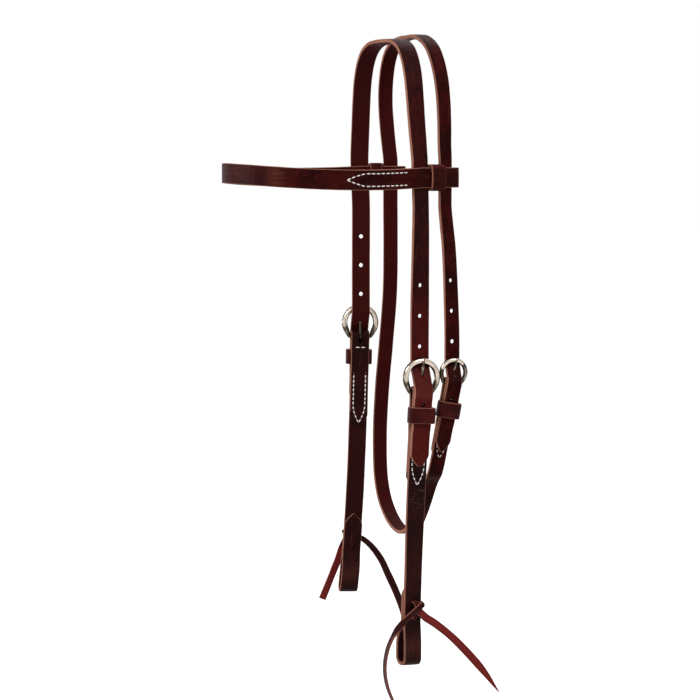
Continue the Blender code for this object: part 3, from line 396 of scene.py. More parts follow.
def leather(name, tones, gloss=0.40, shift=0.0, polish=0.045, ruddy_and_lit=None, painted_highlight=None, crease=None, bright=None,
            skived=0.0):
    """Oiled leather in the given tones.

    Lengths run along the strap. ruddy_and_lit is (middle, start, end): it grows redder and brighter between
    those distances from the middle, a redder tone of the leather that on the crown's tails also stands as
    painted light, and where a bright tone is given its flesh side turns to that. painted_highlight is
    (middle, distance, half width) of a painted highlight patch on each side, and crease is (place, half
    width) of worn crease lines, painted in a greyish tone that also stands for their sheen. The cut edge is
    dark at the start, as far as skived says.
    """
    deep, mid, light, edge, flesh, ruddy = tones
    n = Nodes(bpy.data.materials.new(name))
    at = n.place(shift=shift, aside=shift * 0.37)
    edge_share, flesh_share = n.parts("edges")
    run, _ = n.parts("UVMap")

    clouds = n.noise(at, 0.035, 4.0, 0.55)
    blotches = n.noise(at, 0.20, 4.0, 0.62)
    specks = n.noise(n.place(420, 1000, shift, 5), 0.80, 3.0, 0.6)
    streaks = n.noise(n.place(45, 900, shift), 0.9, 3.0, 0.55)
    fibres = n.noise(n.place(500, 4200), 1.1, 2.0, 0.6)
    grit = n.noise(at, 5.5, 2.0, 0.6)

    body = n.mix(n.ramp(clouds, 0.38, 0.64), deep, mid)
    back = n.mix(n.ramp(fibres, 0.40, 0.70), flesh, mid)
    if skived:
        edge_share = n.math("MULTIPLY", edge_share, n.ramp(run, skived, skived * 1.3, 0.2, 1.0))
    # The ruddy tone towards the ends: a redder tone of the leather, and on the crown also painted light on
    # its tails
    if ruddy_and_lit:
        middle, start, end = ruddy_and_lit
        ruddy_share = n.ramp(n.distance(run, middle), start, end)
        body = n.mix(ruddy_share, body, ruddy)
        if bright:
            back = n.mix(ruddy_share, back, bright)
    for value, low, high, share, tone in (
            (blotches, 0.48, 0.70, 0.50, deep), (blotches, 0.48, 0.30, 0.35, ruddy),
            (specks, 0.50, 0.74, 0.25, deep), (specks, 0.48, 0.30, 0.12, ruddy),
            (streaks, 0.54, 0.74, 0.30, light), (grit, 0.56, 0.74, 0.35, deep)):
        body = n.mix(n.ramp(value, low, high, 0.0, share), body, tone)
    # A painted highlight: a patch on each side, this far from the middle, mixed towards the worn tone
    if painted_highlight:
        middle, spot, half = painted_highlight
        highlight_share = n.ramp(n.distance(n.distance(run, middle), spot), half, 0.0)
        body = n.mix(n.math("MULTIPLY", highlight_share, n.ramp(streaks, 0.30, 0.70, 0.22, 0.62)), body, light)
    # Crease lines: wear, painted in a greyish tone that also stands for their sheen
    if crease:
        spot, half = crease
        folds = n.ramp(n.noise(n.place(1500, 170, shift), 0.8, 2.0, 0.5), 0.55, 0.66)
        folds = n.math("MULTIPLY", folds, n.ramp(n.distance(run, spot), half, half * 0.4, 0.0, 0.80))
        body = n.mix(folds, body, CREASE_WEAR_AND_SHEEN)
    body = n.mix(n.math("MULTIPLY", flesh_share, 0.8), body, back)
    body = n.mix(n.ramp(edge_share, 0.05, 0.27, 0.0, 0.45), body, deep)
    layers = n.noise(n.place(60, 2600, shift), 1.0, 3.0, 0.6)
    raw = n.mix(n.ramp(layers, 0.40, 0.70, 0.0, 0.40), edge, light)
    raw = n.mix(n.ramp(clouds, 0.45, 0.72, 0.0, 0.30), raw, light)
    body = n.mix(n.ramp(edge_share, 0.27, 0.60), body, raw)

    rough = n.ramp(n.noise(at, 0.5, 3.0, 0.6), 0.3, 0.7, gloss - 0.07, gloss + 0.10)
    rough = n.add(n.add(rough, flesh_share, 0.16), edge_share, 0.20)

    wobble = n.new("ShaderNodeTexNoise", {"Vector": at, "Scale": 0.9}).outputs["Color"]
    warp = n.new("ShaderNodeMix", {"Factor": 0.45, "A": at, "B": wobble}, data_type="VECTOR")
    cells = n.new("ShaderNodeTexVoronoi", {"Vector": warp.outputs["Result"], "Scale": 2.6},
                  feature="DISTANCE_TO_EDGE")
    grain = n.ramp(cells.outputs["Distance"], 0.0, 0.16)
    pores = n.ramp(n.noise(at, 2.8, 2.0, 0.5), 0.30, 0.44)
    height = n.add(n.math("MULTIPLY", grain, 0.45), pores, 0.35)
    height = n.add(height, fibres, n.ramp(flesh_share, 0.0, 1.0, 0.1, 1.3))
    normal = n.bump(height, 0.30, 0.00010)
    creases = n.noise(n.place(700, 55, shift * 2), 0.9, 3.0, 0.6)
    waves = n.add(n.noise(at, 0.16, 2.0, 0.5), streaks, 0.30)
    waves = n.add(waves, n.ramp(creases, 0.55, 0.70), 0.25)
    n.feed(n.shader, {"Base Color": body, "Roughness": rough, "Specular IOR Level": polish,
                      "Normal": n.bump(waves, 0.45, 0.00045, Normal=normal)})
    return n.owner


def nickel(name):
    """Polished nickel with painted dark reflections on the outer and inner rims of a ring and in patches, and
    painted shade where it hangs low.
    """
    n = Nodes(bpy.data.materials.new(name))
    scratches = n.noise(n.place(180, 2600), 1.0, 3.0, 0.65)
    haze = n.noise(n.place(), 0.35, 4.0, 0.6)
    patches = n.noise(n.place(1000, 300, 3), 0.085, 2.0, 0.5)
    rim, low = n.parts("edges")
    colour = n.mix(n.ramp(haze, 0.40, 0.72), (0.64, 0.555, 0.470, 1), (0.44, 0.365, 0.290, 1))
    # painted_dark: painted dark reflections on the rims and in patches, and painted shade from the low mark
    painted_dark = n.add(n.ramp(rim, 0.74, 0.96, 0.0, 0.90), n.ramp(rim, 0.42, 0.10, 0.0, 0.80))
    painted_dark = n.add(painted_dark, n.ramp(patches, 0.36, 0.64, -0.20, 0.25))
    painted_dark = n.add(painted_dark, n.ramp(low, 0.50, 0.70, 0.0, 0.75))
    colour = n.mix(n.ramp(painted_dark, 0.25, 0.85), colour, (0.050, 0.040, 0.025, 1))
    rough = n.add(n.ramp(haze, 0.35, 0.75, 0.13, 0.26), n.ramp(scratches, 0.6, 0.8, 0.0, 0.10))
    n.feed(n.shader, {"Base Color": colour, "Metallic": 1.0, "Roughness": rough,
                      "Normal": n.bump(n.add(scratches, haze, 2.0), 0.16, 0.00006)})
    return n.owner


def thread(name):
    n = Nodes(bpy.data.materials.new(name))
    twist = n.new("ShaderNodeTexWave", {"Vector": n.place(), "Scale": 0.55, "Distortion": 0.6},
                  bands_direction="DIAGONAL").outputs["Fac"]
    strands = n.noise(n.place(900, 5000), 1.0, 2.0, 0.6)
    colour = n.mix(n.ramp(twist, 0.0, 0.40), (0.70, 0.60, 0.53, 1), (0.94, 0.89, 0.84, 1))
    colour = n.mix(n.ramp(strands, 0.5, 0.8, 0.0, 0.3), colour, (0.70, 0.58, 0.50, 1))
    n.feed(n.shader, {"Base Color": colour, "Roughness": 0.55, "Specular IOR Level": 0.3,
                      "Normal": n.bump(n.add(twist, strands, 0.3), 0.5, 0.00014)})
    return n.owner


# Routes. A station is (centre, across, width share).

def ease(share):
    """The share, kept from 0 to 1 and slow at both ends."""
    share = min(1.0, max(0.0, share))
    return share * share * (3 - 2 * share)


def spline(keys, step=SPLINE_STEP):
    """Points on a smooth curve through the keys, which are coordinates of any number."""
    keys = [Vector(key) for key in keys]
    keys = [2 * keys[0] - keys[1]] + keys + [2 * keys[-1] - keys[-2]]
    points = []
    for knots in zip(keys, keys[1:], keys[2:], keys[3:]):
        times = [0.0]
        for before, here in zip(knots, knots[1:]):
            times.append(times[-1] + math.sqrt((here - before).length))
        count = max(2, math.ceil((knots[2] - knots[1]).length / step))
        for k in range(count):
            time = times[1] + (times[2] - times[1]) * k / count
            row = knots
            for spans in (((0, 1), (1, 2), (2, 3)), ((0, 2), (1, 3)), ((1, 2),)):
                row = [a.lerp(b, (time - times[i]) / (times[j] - times[i]))
                       for a, b, (i, j) in zip(row, row[1:], spans)]
            points += row
    return points + [keys[-2]]


def rounded(corners, closed=False):
    """A path through corners, each (coordinates, then radius), turned into arcs of their radii."""
    count = len(corners)
    spots = [Vector(corner[:-1]) for corner in corners]
    points = []
    for i, here in enumerate(spots):
        radius = corners[i][-1]
        if radius == 0 or not closed and i in (0, count - 1):
            points.append(here)
            continue
        inward = (here - spots[i - 1]).normalized()
        onward = (spots[(i + 1) % count] - here).normalized()
        turn = math.acos(max(-1.0, min(1.0, inward.dot(onward))))
        start = here - inward * radius * math.tan(turn / 2)
        side = (onward - inward * inward.dot(onward)).normalized()
        steps = max(1, math.ceil(turn / TURN_STEP))
        for k in range(steps + 1):
            angle = turn * k / steps
            points.append(start + side * radius * (1 - math.cos(angle)) + inward * radius * math.sin(angle))
    return points


def split_path(points, step=STRAIGHT_STEP):
    split = [points[0]]
    for before, here in zip(points, points[1:]):
        count = max(1, math.ceil((here - before).length / step))
        split += [before.lerp(here, (k + 1) / count) for k in range(count)]
    return split


def loop_path(corners, step):
    """A closed path through corners, rounded and split as above."""
    path = rounded(corners, closed=True)
    return split_path(path + path[:1], step)[:-1]


def ways(points, closed=False):
    """The path's direction at each point."""
    around = points[-1:] + points + points[:1] if closed else points[:1] + points + points[-1:]
    return [(after - before).normalized() for before, after in zip(around, around[2:])]


def run_lengths(points, closed=False):
    """How far along the path each point is. A closed one ends with its whole length."""
    lengths = [0.0]
    for before, here in zip(points, points[1:] + points[:1] if closed else points[1:]):
        lengths.append(lengths[-1] + (here - before).length)
    return lengths


def centres(stations):
    return [station[0] for station in stations]


def spot_on(lengths, run):
    """The number of the point that ends the stretch where this run is, and the run's share of it."""
    i = next((i for i in range(1, len(lengths)) if lengths[i] >= run), len(lengths) - 1)
    return i, (run - lengths[i - 1]) / (lengths[i] - lengths[i - 1])


def blend(before, here, share):
    return (before[0].lerp(here[0], share), before[1].lerp(here[1], share).normalized(),
            before[2] + (here[2] - before[2]) * share)


def fine(stations, step=STRAIGHT_STEP):
    """The stations without repeats, with long straights split and across made square to the route."""
    kept = [stations[0]]
    for here in stations[1:]:
        before = kept[-1]
        run = (here[0] - before[0]).length
        if run >= CLEARANCE / 3:
            count = max(1, math.ceil(run / step))
            kept += [blend(before, here, k / count) for k in range(1, count + 1)]
    return [(centre, (across - way * across.dot(way)).normalized(), share)
            for (centre, across, share), way in zip(kept, ways(centres(kept)))]


def place_at(stations, run, lengths=None):
    i, share = spot_on(lengths or run_lengths(centres(stations)), run)
    return blend(stations[i - 1], stations[i], share)[:2]


def run_to(stations, point):
    """How far along the route the point is."""
    best = []
    for (start, _, _), (end, _, _), length in zip(stations, stations[1:], run_lengths(centres(stations))):
        way = end - start
        share = min(1.0, max(0.0, (point - start).dot(way) / way.length_squared))
        best.append(((start + way * share - point).length, length + way.length * share))
    return min(best)[1]


def pointed(stations, length):
    """The stations with the last stretch of this length narrowed to a point."""
    lengths = run_lengths(centres(stations))
    start = lengths[-1] - length
    body = [station for station, run in zip(stations, lengths) if run < start - CLEARANCE]
    return body + [(*place_at(stations, start + length * run_share, lengths), width_share)
                   for run_share, width_share in POINT]


def both_pointed(stations):
    return pointed(pointed(fine(stations), POINT_LENGTH)[::-1], POINT_LENGTH)[::-1]


# Meshes

def section(width, thickness, columns):
    """Round a strap's cross-section: (across, outward, cut edge share, flesh share)."""
    half, deep = width / 2, thickness / 2
    corner = min(CORNER, half * 0.8, deep * 0.8)
    flat = half - corner
    inner = flat - min(RIM_RUB, flat * 0.4)
    face = [-flat] + [-inner + 2 * inner * k / columns for k in range(columns + 1)] + [flat]
    points = []
    for sign, flesh in ((1, 0.0), (-1, 1.0)):
        for u in face:
            rise = deep - DOME * (abs(u) / half) ** 3 * min(1.0, thickness / LEATHER)
            points.append((u * sign, rise * sign, 0.25 if abs(u) == flat else 0.0, flesh))
        for level in (1, -1):
            for angle, edge_share in RIM[::level]:
                out = flat + corner * math.sin(math.radians(angle))
                rise = deep - corner + corner * math.cos(math.radians(angle))
                flesh_share = 0.5 if angle == 90 else 0.5 + (flesh - 0.5) * level
                points.append((sign * out, sign * level * rise, edge_share, flesh_share))
    return points


def smooth(mesh):
    mesh.polygons.foreach_set("use_smooth", [True] * len(mesh.polygons))
    mesh.set_sharp_from_angle(angle=SHARP)
    mesh.update()


def make_mesh(name, verts, faces, layers):
    """A mesh with its faces turned outward and a value for each of their corners in every layer."""
    mesh = bpy.data.meshes.new(name)
    mesh.from_pydata(verts, [], faces)
    for layer, values in layers.items():
        mesh.uv_layers.new(name=layer).data.foreach_set("uv", [c for value in values for c in value])
    bm = bmesh.new()
    bm.from_mesh(mesh)
    bmesh.ops.recalc_face_normals(bm, faces=bm.faces)
    bm.to_mesh(mesh)
    bm.free()
    return mesh


def loft(name, rings, uvs, marks, material, closed, along=None):
    """Quads between rings of equal count, with their surface places and marks.

    Marks go round a ring. Where along is given, its values replace the second mark, ring by ring.
    """
    count, size = len(rings), len(rings[0])
    faces, face_uvs, face_marks = [], [], []
    for i in range(count if closed else count - 1):
        for j in range(size):
            quad = ((i, j), (i, j + 1), (i + 1, j + 1), (i + 1, j))
            faces.append([a % count * size + b % size for a, b in quad])
            face_uvs += [(uvs[0][a], uvs[1][b]) for a, b in quad]
            face_marks += [(marks[b % size][0], along[a % count] if along else marks[b % size][1])
                           for a, b in quad]
    if not closed:
        for i, order in ((0, range(size - 1, -1, -1)), (count - 1, range(size))):
            faces.append([i * size + j for j in order])
            face_uvs += [(uvs[0][i], uvs[1][j]) for j in order]
            face_marks += [(1.0, 0.5)] * size
    mesh = make_mesh(name, [point for ring in rings for point in ring], faces,
                     {"UVMap": face_uvs, "edges": face_marks})
    smooth(mesh)
    return show(name, mesh, material)


def strap(name, stations, width, thickness, material, grain, closed=False, columns=8, wave=EDGE_WAVE):
    """A strap along the stations. grain is (station, direction): which way its grain side faces there."""
    spine = centres(stations)
    outs = [across.cross(way).normalized() for (_, across, _), way in zip(stations, ways(spine, closed))]
    index, facing = grain
    sign = 1 if outs[index].dot(Vector(facing)) > 0 else -1
    lengths = run_lengths(spine, closed)
    seed = sum(ord(letter) for letter in name) * 0.137
    rings = []
    for (centre, across, share), out, run in zip(stations, outs, lengths):
        out = out * sign
        swell = 1.0 if closed else 1 + wave * noise.noise(Vector((run * EDGE_WAVE_SCALE, seed, 0.3)))
        ring = []
        for u, v, _, _ in section(width * share * swell, thickness, columns):
            point = centre + across * u + out * v
            ripple = noise.noise(point * RIPPLE_SCALE + Vector((seed, 0, 0)))
            ripple += 0.5 * noise.noise(point * RIPPLE_SCALE * 3)
            ring.append(point + out * ripple * RIPPLE)
        rings.append(ring)
    profile = section(width, thickness, columns)
    around = run_lengths([Vector(point[:2]) for point in profile], True)
    return loft(name, rings, (lengths, around), [point[2:] for point in profile], material, closed)


def tube(name, points, side, radii, material, sides, closed=False, along=None):
    """A round wire along points of one plane, whose normal is side."""
    turns = [2 * math.pi * k / sides for k in range(sides + 1)]
    rings = []
    for point, way, radius in zip(points, ways(points, closed), radii):
        out = way.cross(side).normalized()
        rings.append([point + side * math.cos(turn) * radius + out * math.sin(turn) * radius
                      for turn in turns[:-1]])
    around = [turn * max(radii) for turn in turns]
    rim = [(0.5 + 0.5 * math.sin(turn), 0.0) for turn in turns[:-1]]
    return loft(name, rings, (run_lengths(points, closed), around), rim, material, closed, along)


class Punch:
    """Collects holes, then cuts them out of a strap at once."""

    def __init__(self):
        self.verts, self.faces = [], []

    def hole(self, centre, across, along, radius, depth, stretch=0.0, flare=HOLE_FLARE):
        """A hole, made longer by its stretch, that widens at its lips if it has a flare."""
        normal = across.cross(along).normalized()
        ahead = normal.cross(across)
        reach, lip = depth / 2, LEATHER / 2 - flare
        levels = [(-reach, radius), (reach, radius)]
        if flare:
            mouth = radius + max(0.0, reach - lip)
            levels = [(-reach, mouth), (-lip, radius), (lip, radius), (reach, mouth)]
        rows = []
        for height, wide in levels:
            first = len(self.verts)
            rows.append([first + k for k in range(HOLE_SIDES)])
            for k in range(HOLE_SIDES):
                x = math.cos(2 * math.pi * (k + 0.5) / HOLE_SIDES) * wide
                y = math.sin(2 * math.pi * (k + 0.5) / HOLE_SIDES) * wide
                y += math.copysign(stretch / 2, y)
                self.verts.append(centre + across * x + ahead * y + normal * height)
        for low, high in zip(rows, rows[1:]):
            self.faces += zip(low, low[1:] + low[:1], high[1:] + high[:1], high)
        self.faces += [rows[0][::-1], rows[-1]]

    def cut(self, item):
        size = sum(len(face) for face in self.faces)
        layers = {layer: [mark] * size for layer, mark in HOLE_WALL.items()}
        mesh = make_mesh("punch", self.verts, self.faces, layers)
        cutter = add("punch", mesh)
        modifier = item.modifiers.new("holes", "BOOLEAN")
        modifier.operation = "DIFFERENCE"
        modifier.solver = "EXACT"
        modifier.object = cutter
        graph = bpy.context.evaluated_depsgraph_get()
        graph.update()
        item.data = bpy.data.meshes.new_from_object(item.evaluated_get(graph), depsgraph=graph)
        item.modifiers.clear()
        bpy.data.objects.remove(cutter)
        smooth(item.data)


def put(item, body, node):
    """The piece rides on its body and stands for its solid, which is hidden."""
    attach(item, body)
    if node:
        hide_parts(node)


def sew(name, rows, material, body):
    """Stitches along rows of (point, outward), each a bent strand that dips into the leather at both ends."""
    items = []
    for spots in rows:
        lengths = run_lengths([point for point, _ in spots])
        count = max(1, round(lengths[-1] / STITCH_PITCH))
        for k in range(count):
            slack = STITCH_SLACK * noise.noise(Vector((len(items) * 0.71, 1.7, 0.4)))
            ends = []
            for share in (1 - STITCH_SHARE, 1 + STITCH_SHARE):
                i, part = spot_on(lengths, lengths[-1] / count * (k + share / 2 + slack))
                ends.append([before.lerp(here, part) for before, here in zip(spots[i - 1], spots[i])])
            (start, out), (end, _) = ends
            way, out = end - start, out.normalized()
            points = [start + way * share + out * THREAD_RADIUS * (lift - THREAD_DEPTH)
                      for share, lift, _ in STITCH]
            radii = [THREAD_RADIUS * thick for _, _, thick in STITCH]
            items.append(tube(name, points, way.cross(out).normalized(), radii, material, THREAD_SIDES))
    bm = bmesh.new()
    for item in items:
        bm.from_mesh(item.data)
        bpy.data.objects.remove(item)
    mesh = bpy.data.meshes.new(name)
    bm.to_mesh(mesh)
    bm.free()
    smooth(mesh)
    put(show(name, mesh, material), body, None)


# The headstall's own shape, as in its solids

def directions(side, yaw):
    """Outward from the head and across the strap, at this yaw."""
    return Vector((side * math.cos(yaw), math.sin(yaw), 0)), Vector((-side * math.sin(yaw), math.cos(yaw), 0))


def rotate(a, b, angle):
    """Both directions, a turned towards b."""
    return a * math.cos(angle) + b * math.sin(angle), b * math.cos(angle) - a * math.sin(angle)


class Seat:
    """A buckle's place. b runs to the back, w outward from the head and v up the lower strap."""

    def __init__(self, origin, side, yaw, lean, tilt=0.0, twist=0.0, sway=0.0):
        self.origin, self.twist, self.sway = origin, twist, sway
        self.flat_outward, self.upper_across = directions(side, yaw)
        leaned, self.across = rotate(UP, self.upper_across, lean)
        self.up, self.outward = rotate(leaned, self.flat_outward, tilt)

    def turned(self, v):
        """The across and outward directions at v, where the strap below the sewing turns."""
        angle = self.twist * ease((-v - CHEEK_SEWN_END) / (CHEEK_LENGTH - CHEEK_FLAP - CHEEK_SEWN_END))
        outward, across = rotate(self.outward, self.across, angle)
        return across, outward

    def at(self, b, w, v):
        across, outward = self.turned(v)
        drift = self.sway * max(0.0, -v / CHEEK_LENGTH) ** 3
        return self.origin + across * b + outward * w + self.up * v - self.across * drift

    def above(self, w, v):
        return self.origin + self.flat_outward * w + UP * v


class Buckle:
    """A ring with a straight heel bar, its tongue, and how straps pass it, in (w, v)."""

    def __init__(self, radius, ring_wire, bar_wire, tongue_wire):
        self.radius, self.ring_wire = radius, ring_wire
        self.bar_wire, self.tongue_wire = bar_wire, tongue_wire
        self.bar_drop = radius * BAR_DROP_SHARE
        self.fold_radius = bar_wire + CLEARANCE + LEATHER / 2
        self.wrap_radius = self.fold_radius + LEATHER + CLEARANCE
        self.inside = -(ring_wire + CLEARANCE + LEATHER / 2)
        self.bend_height = radius - ring_wire * BEND_BELOW_TOP_SHARE
        reach = Vector((self.inside, self.bend_height + self.bar_drop))
        self.slope = math.atan2(reach.y, reach.x) - math.acos(self.wrap_radius / reach.length)
        self.eye_radius = bar_wire + CLEARANCE + tongue_wire
        self.prong_foot = Vector((-self.eye_radius, -self.bar_drop))
        self.prong_tip = Vector((ring_wire + CLEARANCE + tongue_wire, radius))
        self.prong = (self.prong_tip - self.prong_foot).normalized()
        # Where the tongue passes the strap, and how far its travel takes it outward there
        square = Vector((math.cos(self.slope), math.sin(self.slope)))
        gap = Vector((self.inside, self.bend_height)) - self.prong_foot
        self.crossing = self.prong_foot + self.prong * (gap.dot(square) / self.prong.dot(square))
        self.swing = (self.crossing - Vector((0, -self.bar_drop))).length * math.sin(TONGUE_TRAVEL)


CHEEK_BUCKLE = Buckle(*CHEEK_RING)
THROAT_BUCKLE = Buckle(*THROAT_RING)
SEWN_LAYER = LEATHER / 2 + CLEARANCE / 2
KEEPER_LAYER = LOOP_LEATHER / 2 + CLEARANCE + LEATHER / 2
TAIL_AT_KEEPER = KEEPER_LAYER + LEATHER + CLEARANCE
TAIL_AT_SEAM = SEWN_LAYER + LEATHER + CLEARANCE
KEEPER_END = KEEPER_TOP + KEEPER_HEIGHT
EASE_RUN = LEATHER * 1.5
EASE_RADIUS = LEATHER * 5

SEATS = {side: Seat(Vector((side * BUCKLE_HALF_SPACING, 0, -BUCKLE_DROP - side * CROWN_SHIFT)), side,
                    CHEEK_YAW[side], CHEEK_LEAN[side], twist=CHEEK_TWIST[side], sway=CHEEK_SWAY[side])
         for side, _ in SIDES}
THROAT_SEAT = Seat(Vector(THROAT_BUCKLE_AT), 1, THROAT_YAW, THROAT_LEAN, THROAT_TILT)


def leg_across(side, share=1.0):
    return directions(side, SPLAY * share)[1]


def leg_keys(side, arch, leg, top, forward, forward_depth):
    """(point, across) down a leg, drawn forward by less the deeper it is."""
    depth = top + ARCH_DROP
    spots = [(leg.x * x_share, top - depth * drop_share, drop_share) for x_share, drop_share in arch]
    spots += [(leg.x, -ARCH_DROP - STRAIGHT_LEG * share, 1.0) for share in (0.0, 0.12, 0.88, 1.0)]
    keys = []
    for x, z, share in spots:
        shift = forward * max(0.0, 1 - (z / forward_depth) ** 2)
        keys.append((Vector((x, leg.y, z)) - leg_across(side) * shift, leg_across(side, max(0.0, share))))
    return keys


def smooth_stations(keys):
    """Stations on a smooth curve through the keys, each (point, across)."""
    return [(Vector(p[:3]), Vector(p[3:]).normalized(), 1.0)
            for p in spline([(*point, *across) for point, across in keys])]


def threaded(seat, buckle, tail):
    """The upper strap's last stretch: down behind the ring, out over its bar and on as the tail."""
    wrap = buckle.wrap_radius
    corners = [(buckle.inside, buckle.radius + buckle.ring_wire * 2, 0),
               (buckle.inside, buckle.bend_height, EASE_RADIUS / 2),
               (wrap, wrap * math.tan(buckle.slope / 2) - buckle.bar_drop, wrap),
               (wrap, -buckle.bar_drop - EASE_RUN / 2, EASE_RADIUS),
               (TAIL_AT_KEEPER, -KEEPER_TOP + EASE_RUN, EASE_RADIUS),
               (TAIL_AT_KEEPER, -KEEPER_END - EASE_RUN / 2, EASE_RADIUS),
               (TAIL_AT_SEAM, -KEEPER_END - EASE_RUN * 2, EASE_RADIUS),
               (TAIL_AT_SEAM, -tail, 0)]
    stations = []
    for w, v in rounded(corners):
        share = min(1.0, max(0.0, 0.5 - v / buckle.radius))
        across = seat.upper_across.lerp(seat.across, share).normalized()
        stations.append((seat.above(w, v) if v > 0 else seat.at(0, w, v), across, 1.0))
    return stations


def folded_corners(buckle, sewn_end):
    """The lower strap's fold round the bar, (w, v, radius) from its sewn end inside."""
    fold = buckle.fold_radius
    bar = -buckle.bar_drop
    side = [(fold, bar + fold, fold), (fold, bar - EASE_RUN / 2, EASE_RADIUS),
            (KEEPER_LAYER, -KEEPER_TOP + EASE_RUN, EASE_RADIUS),
            (KEEPER_LAYER, -KEEPER_END - EASE_RUN / 2, EASE_RADIUS),
            (SEWN_LAYER, -KEEPER_END - EASE_RUN * 2, EASE_RADIUS)]
    inner = [(-w, v, radius) for w, v, radius in reversed(side)]
    return [(-SEWN_LAYER, -sewn_end, 0)] + inner + side


def slot_fold(punch, seat, buckle):
    """The slot for the tongue in the fold round the bar."""
    reach = buckle.eye_radius + buckle.tongue_wire + CLEARANCE
    top = buckle.fold_radius + LEATHER
    middle = -buckle.bar_drop + (top - reach) / 2
    width = buckle.tongue_wire + CLEARANCE * 2
    front = buckle.fold_radius + LEATHER / 2 + CLEARANCE / 2
    punch.hole(seat.at(0, (front - top) / 2, middle), seat.across, seat.up, width, front + top,
               top + reach - width, flare=0)


def punch_row(punch, stations, seat, buckle, way):
    """The adjusting holes. The one that the tongue is in is cut along the tongue."""
    centre = seat.at(0, *buckle.crossing)
    run = run_to(stations, centre)
    lift = seat.outward * buckle.prong.y - seat.up * buckle.prong.x
    punch.hole(centre + lift * buckle.swing / 2, seat.across, lift, buckle.tongue_wire + CLEARANCE / 2,
               LEATHER * 2.6, buckle.swing, flare=0)
    for k in range(-HOLES_ABOVE, HOLES_BELOW + 1):
        if k:
            spot, across = place_at(stations, run + way * k * HOLE_PITCH)
            ahead, _ = place_at(stations, run + way * k * HOLE_PITCH + HOLE_RADIUS)
            punch.hole(spot, across, (ahead - spot).normalized(), HOLE_RADIUS, LEATHER * 1.9)


# Linear colours: dark, middle, worn tone that also serves painted highlights, cut edge, flesh side and
# reddest tone, which on the crown's ends also serves painted light
MAHOGANY = ((0.016, 0.0022, 0.0022, 1), (0.040, 0.0040, 0.0035, 1), (0.125, 0.030, 0.020, 1),
            (0.350, 0.155, 0.105, 1), (0.040, 0.0045, 0.0040, 1), (0.080, 0.0080, 0.0062, 1))
DARK_MAHOGANY = ((0.010, 0.0020, 0.0020, 1), (0.024, 0.0034, 0.0030, 1), (0.085, 0.022, 0.015, 1),
                 (0.280, 0.120, 0.082, 1), (0.026, 0.0038, 0.0034, 1), (0.048, 0.0060, 0.0050, 1))
DARK_LATIGO = ((0.020, 0.0038, 0.0036, 1), (0.042, 0.0075, 0.0065, 1), (0.130, 0.040, 0.028, 1),
               (0.200, 0.070, 0.050, 1), (0.055, 0.0085, 0.0070, 1), (0.070, 0.0100, 0.0085, 1))
LATIGO = ((0.035, 0.0055, 0.0050, 1), (0.090, 0.0105, 0.0090, 1), (0.190, 0.040, 0.032, 1),
          (0.270, 0.085, 0.060, 1), (0.260, 0.0290, 0.0240, 1), (0.130, 0.0150, 0.0125, 1))
LOOP_RED = ((0.026, 0.0036, 0.0034, 1), (0.064, 0.0078, 0.0066, 1), (0.170, 0.046, 0.034, 1),
            (0.300, 0.120, 0.085, 1), (0.050, 0.0060, 0.0052, 1), (0.105, 0.0120, 0.0100, 1))

# Dark mahogany tones for the far tie, with its cut edge as dark as the middle tone
DARK_EDGED_MAHOGANY = (*DARK_MAHOGANY[:3], DARK_MAHOGANY[1], *DARK_MAHOGANY[4:])


def led_into(keys, tail, rise, count):
    """A leg's stations, with the last keys straight above the tail, and the tail's own."""
    start, across, _ = tail[0]
    keys += [(start + UP * rise * k, across) for k in range(count, -1, -1)]
    return smooth_stations(keys)[:-1] + tail


def make_crown():
    halves = {}
    for side, _ in SIDES:
        keys = leg_keys(side, CROWN_ARCH, Vector((side * LEG_HALF_SPACING, 0, 0)), LEATHER / 2, TOP_FORWARD,
                        FORWARD_DEPTH)
        halves[side] = led_into(keys, threaded(SEATS[side], CHEEK_BUCKLE, CHEEK_TAIL), CHEEK_RING[0], 2)
    route = both_pointed(halves[-1][::-1] + halves[1][1:])
    middle = run_lengths(centres(route))[-1] / 2
    # The crown's ends are painted in the brighter ruddy tone, partly a redder leather and partly painted
    # light on its tails; each tail also holds a painted highlight below its ring
    material = leather("crown_leather", MAHOGANY, shift=13.0, polish=0.035, ruddy_and_lit=(middle, 0.20, 0.33),
                       painted_highlight=(middle, middle - CHEEK_TAIL + CHEEK_RING[0], CHEEK_RING[0] / 2))
    crown = strap("crown", route, STRAP_WIDTH, LEATHER, material, (len(route) // 2, UP))
    punch = Punch()
    for side, _ in SIDES:
        punch_row(punch, route, SEATS[side], CHEEK_BUCKLE, side)
    punch.cut(crown)
    put(crown, "crown", "crown_strap")


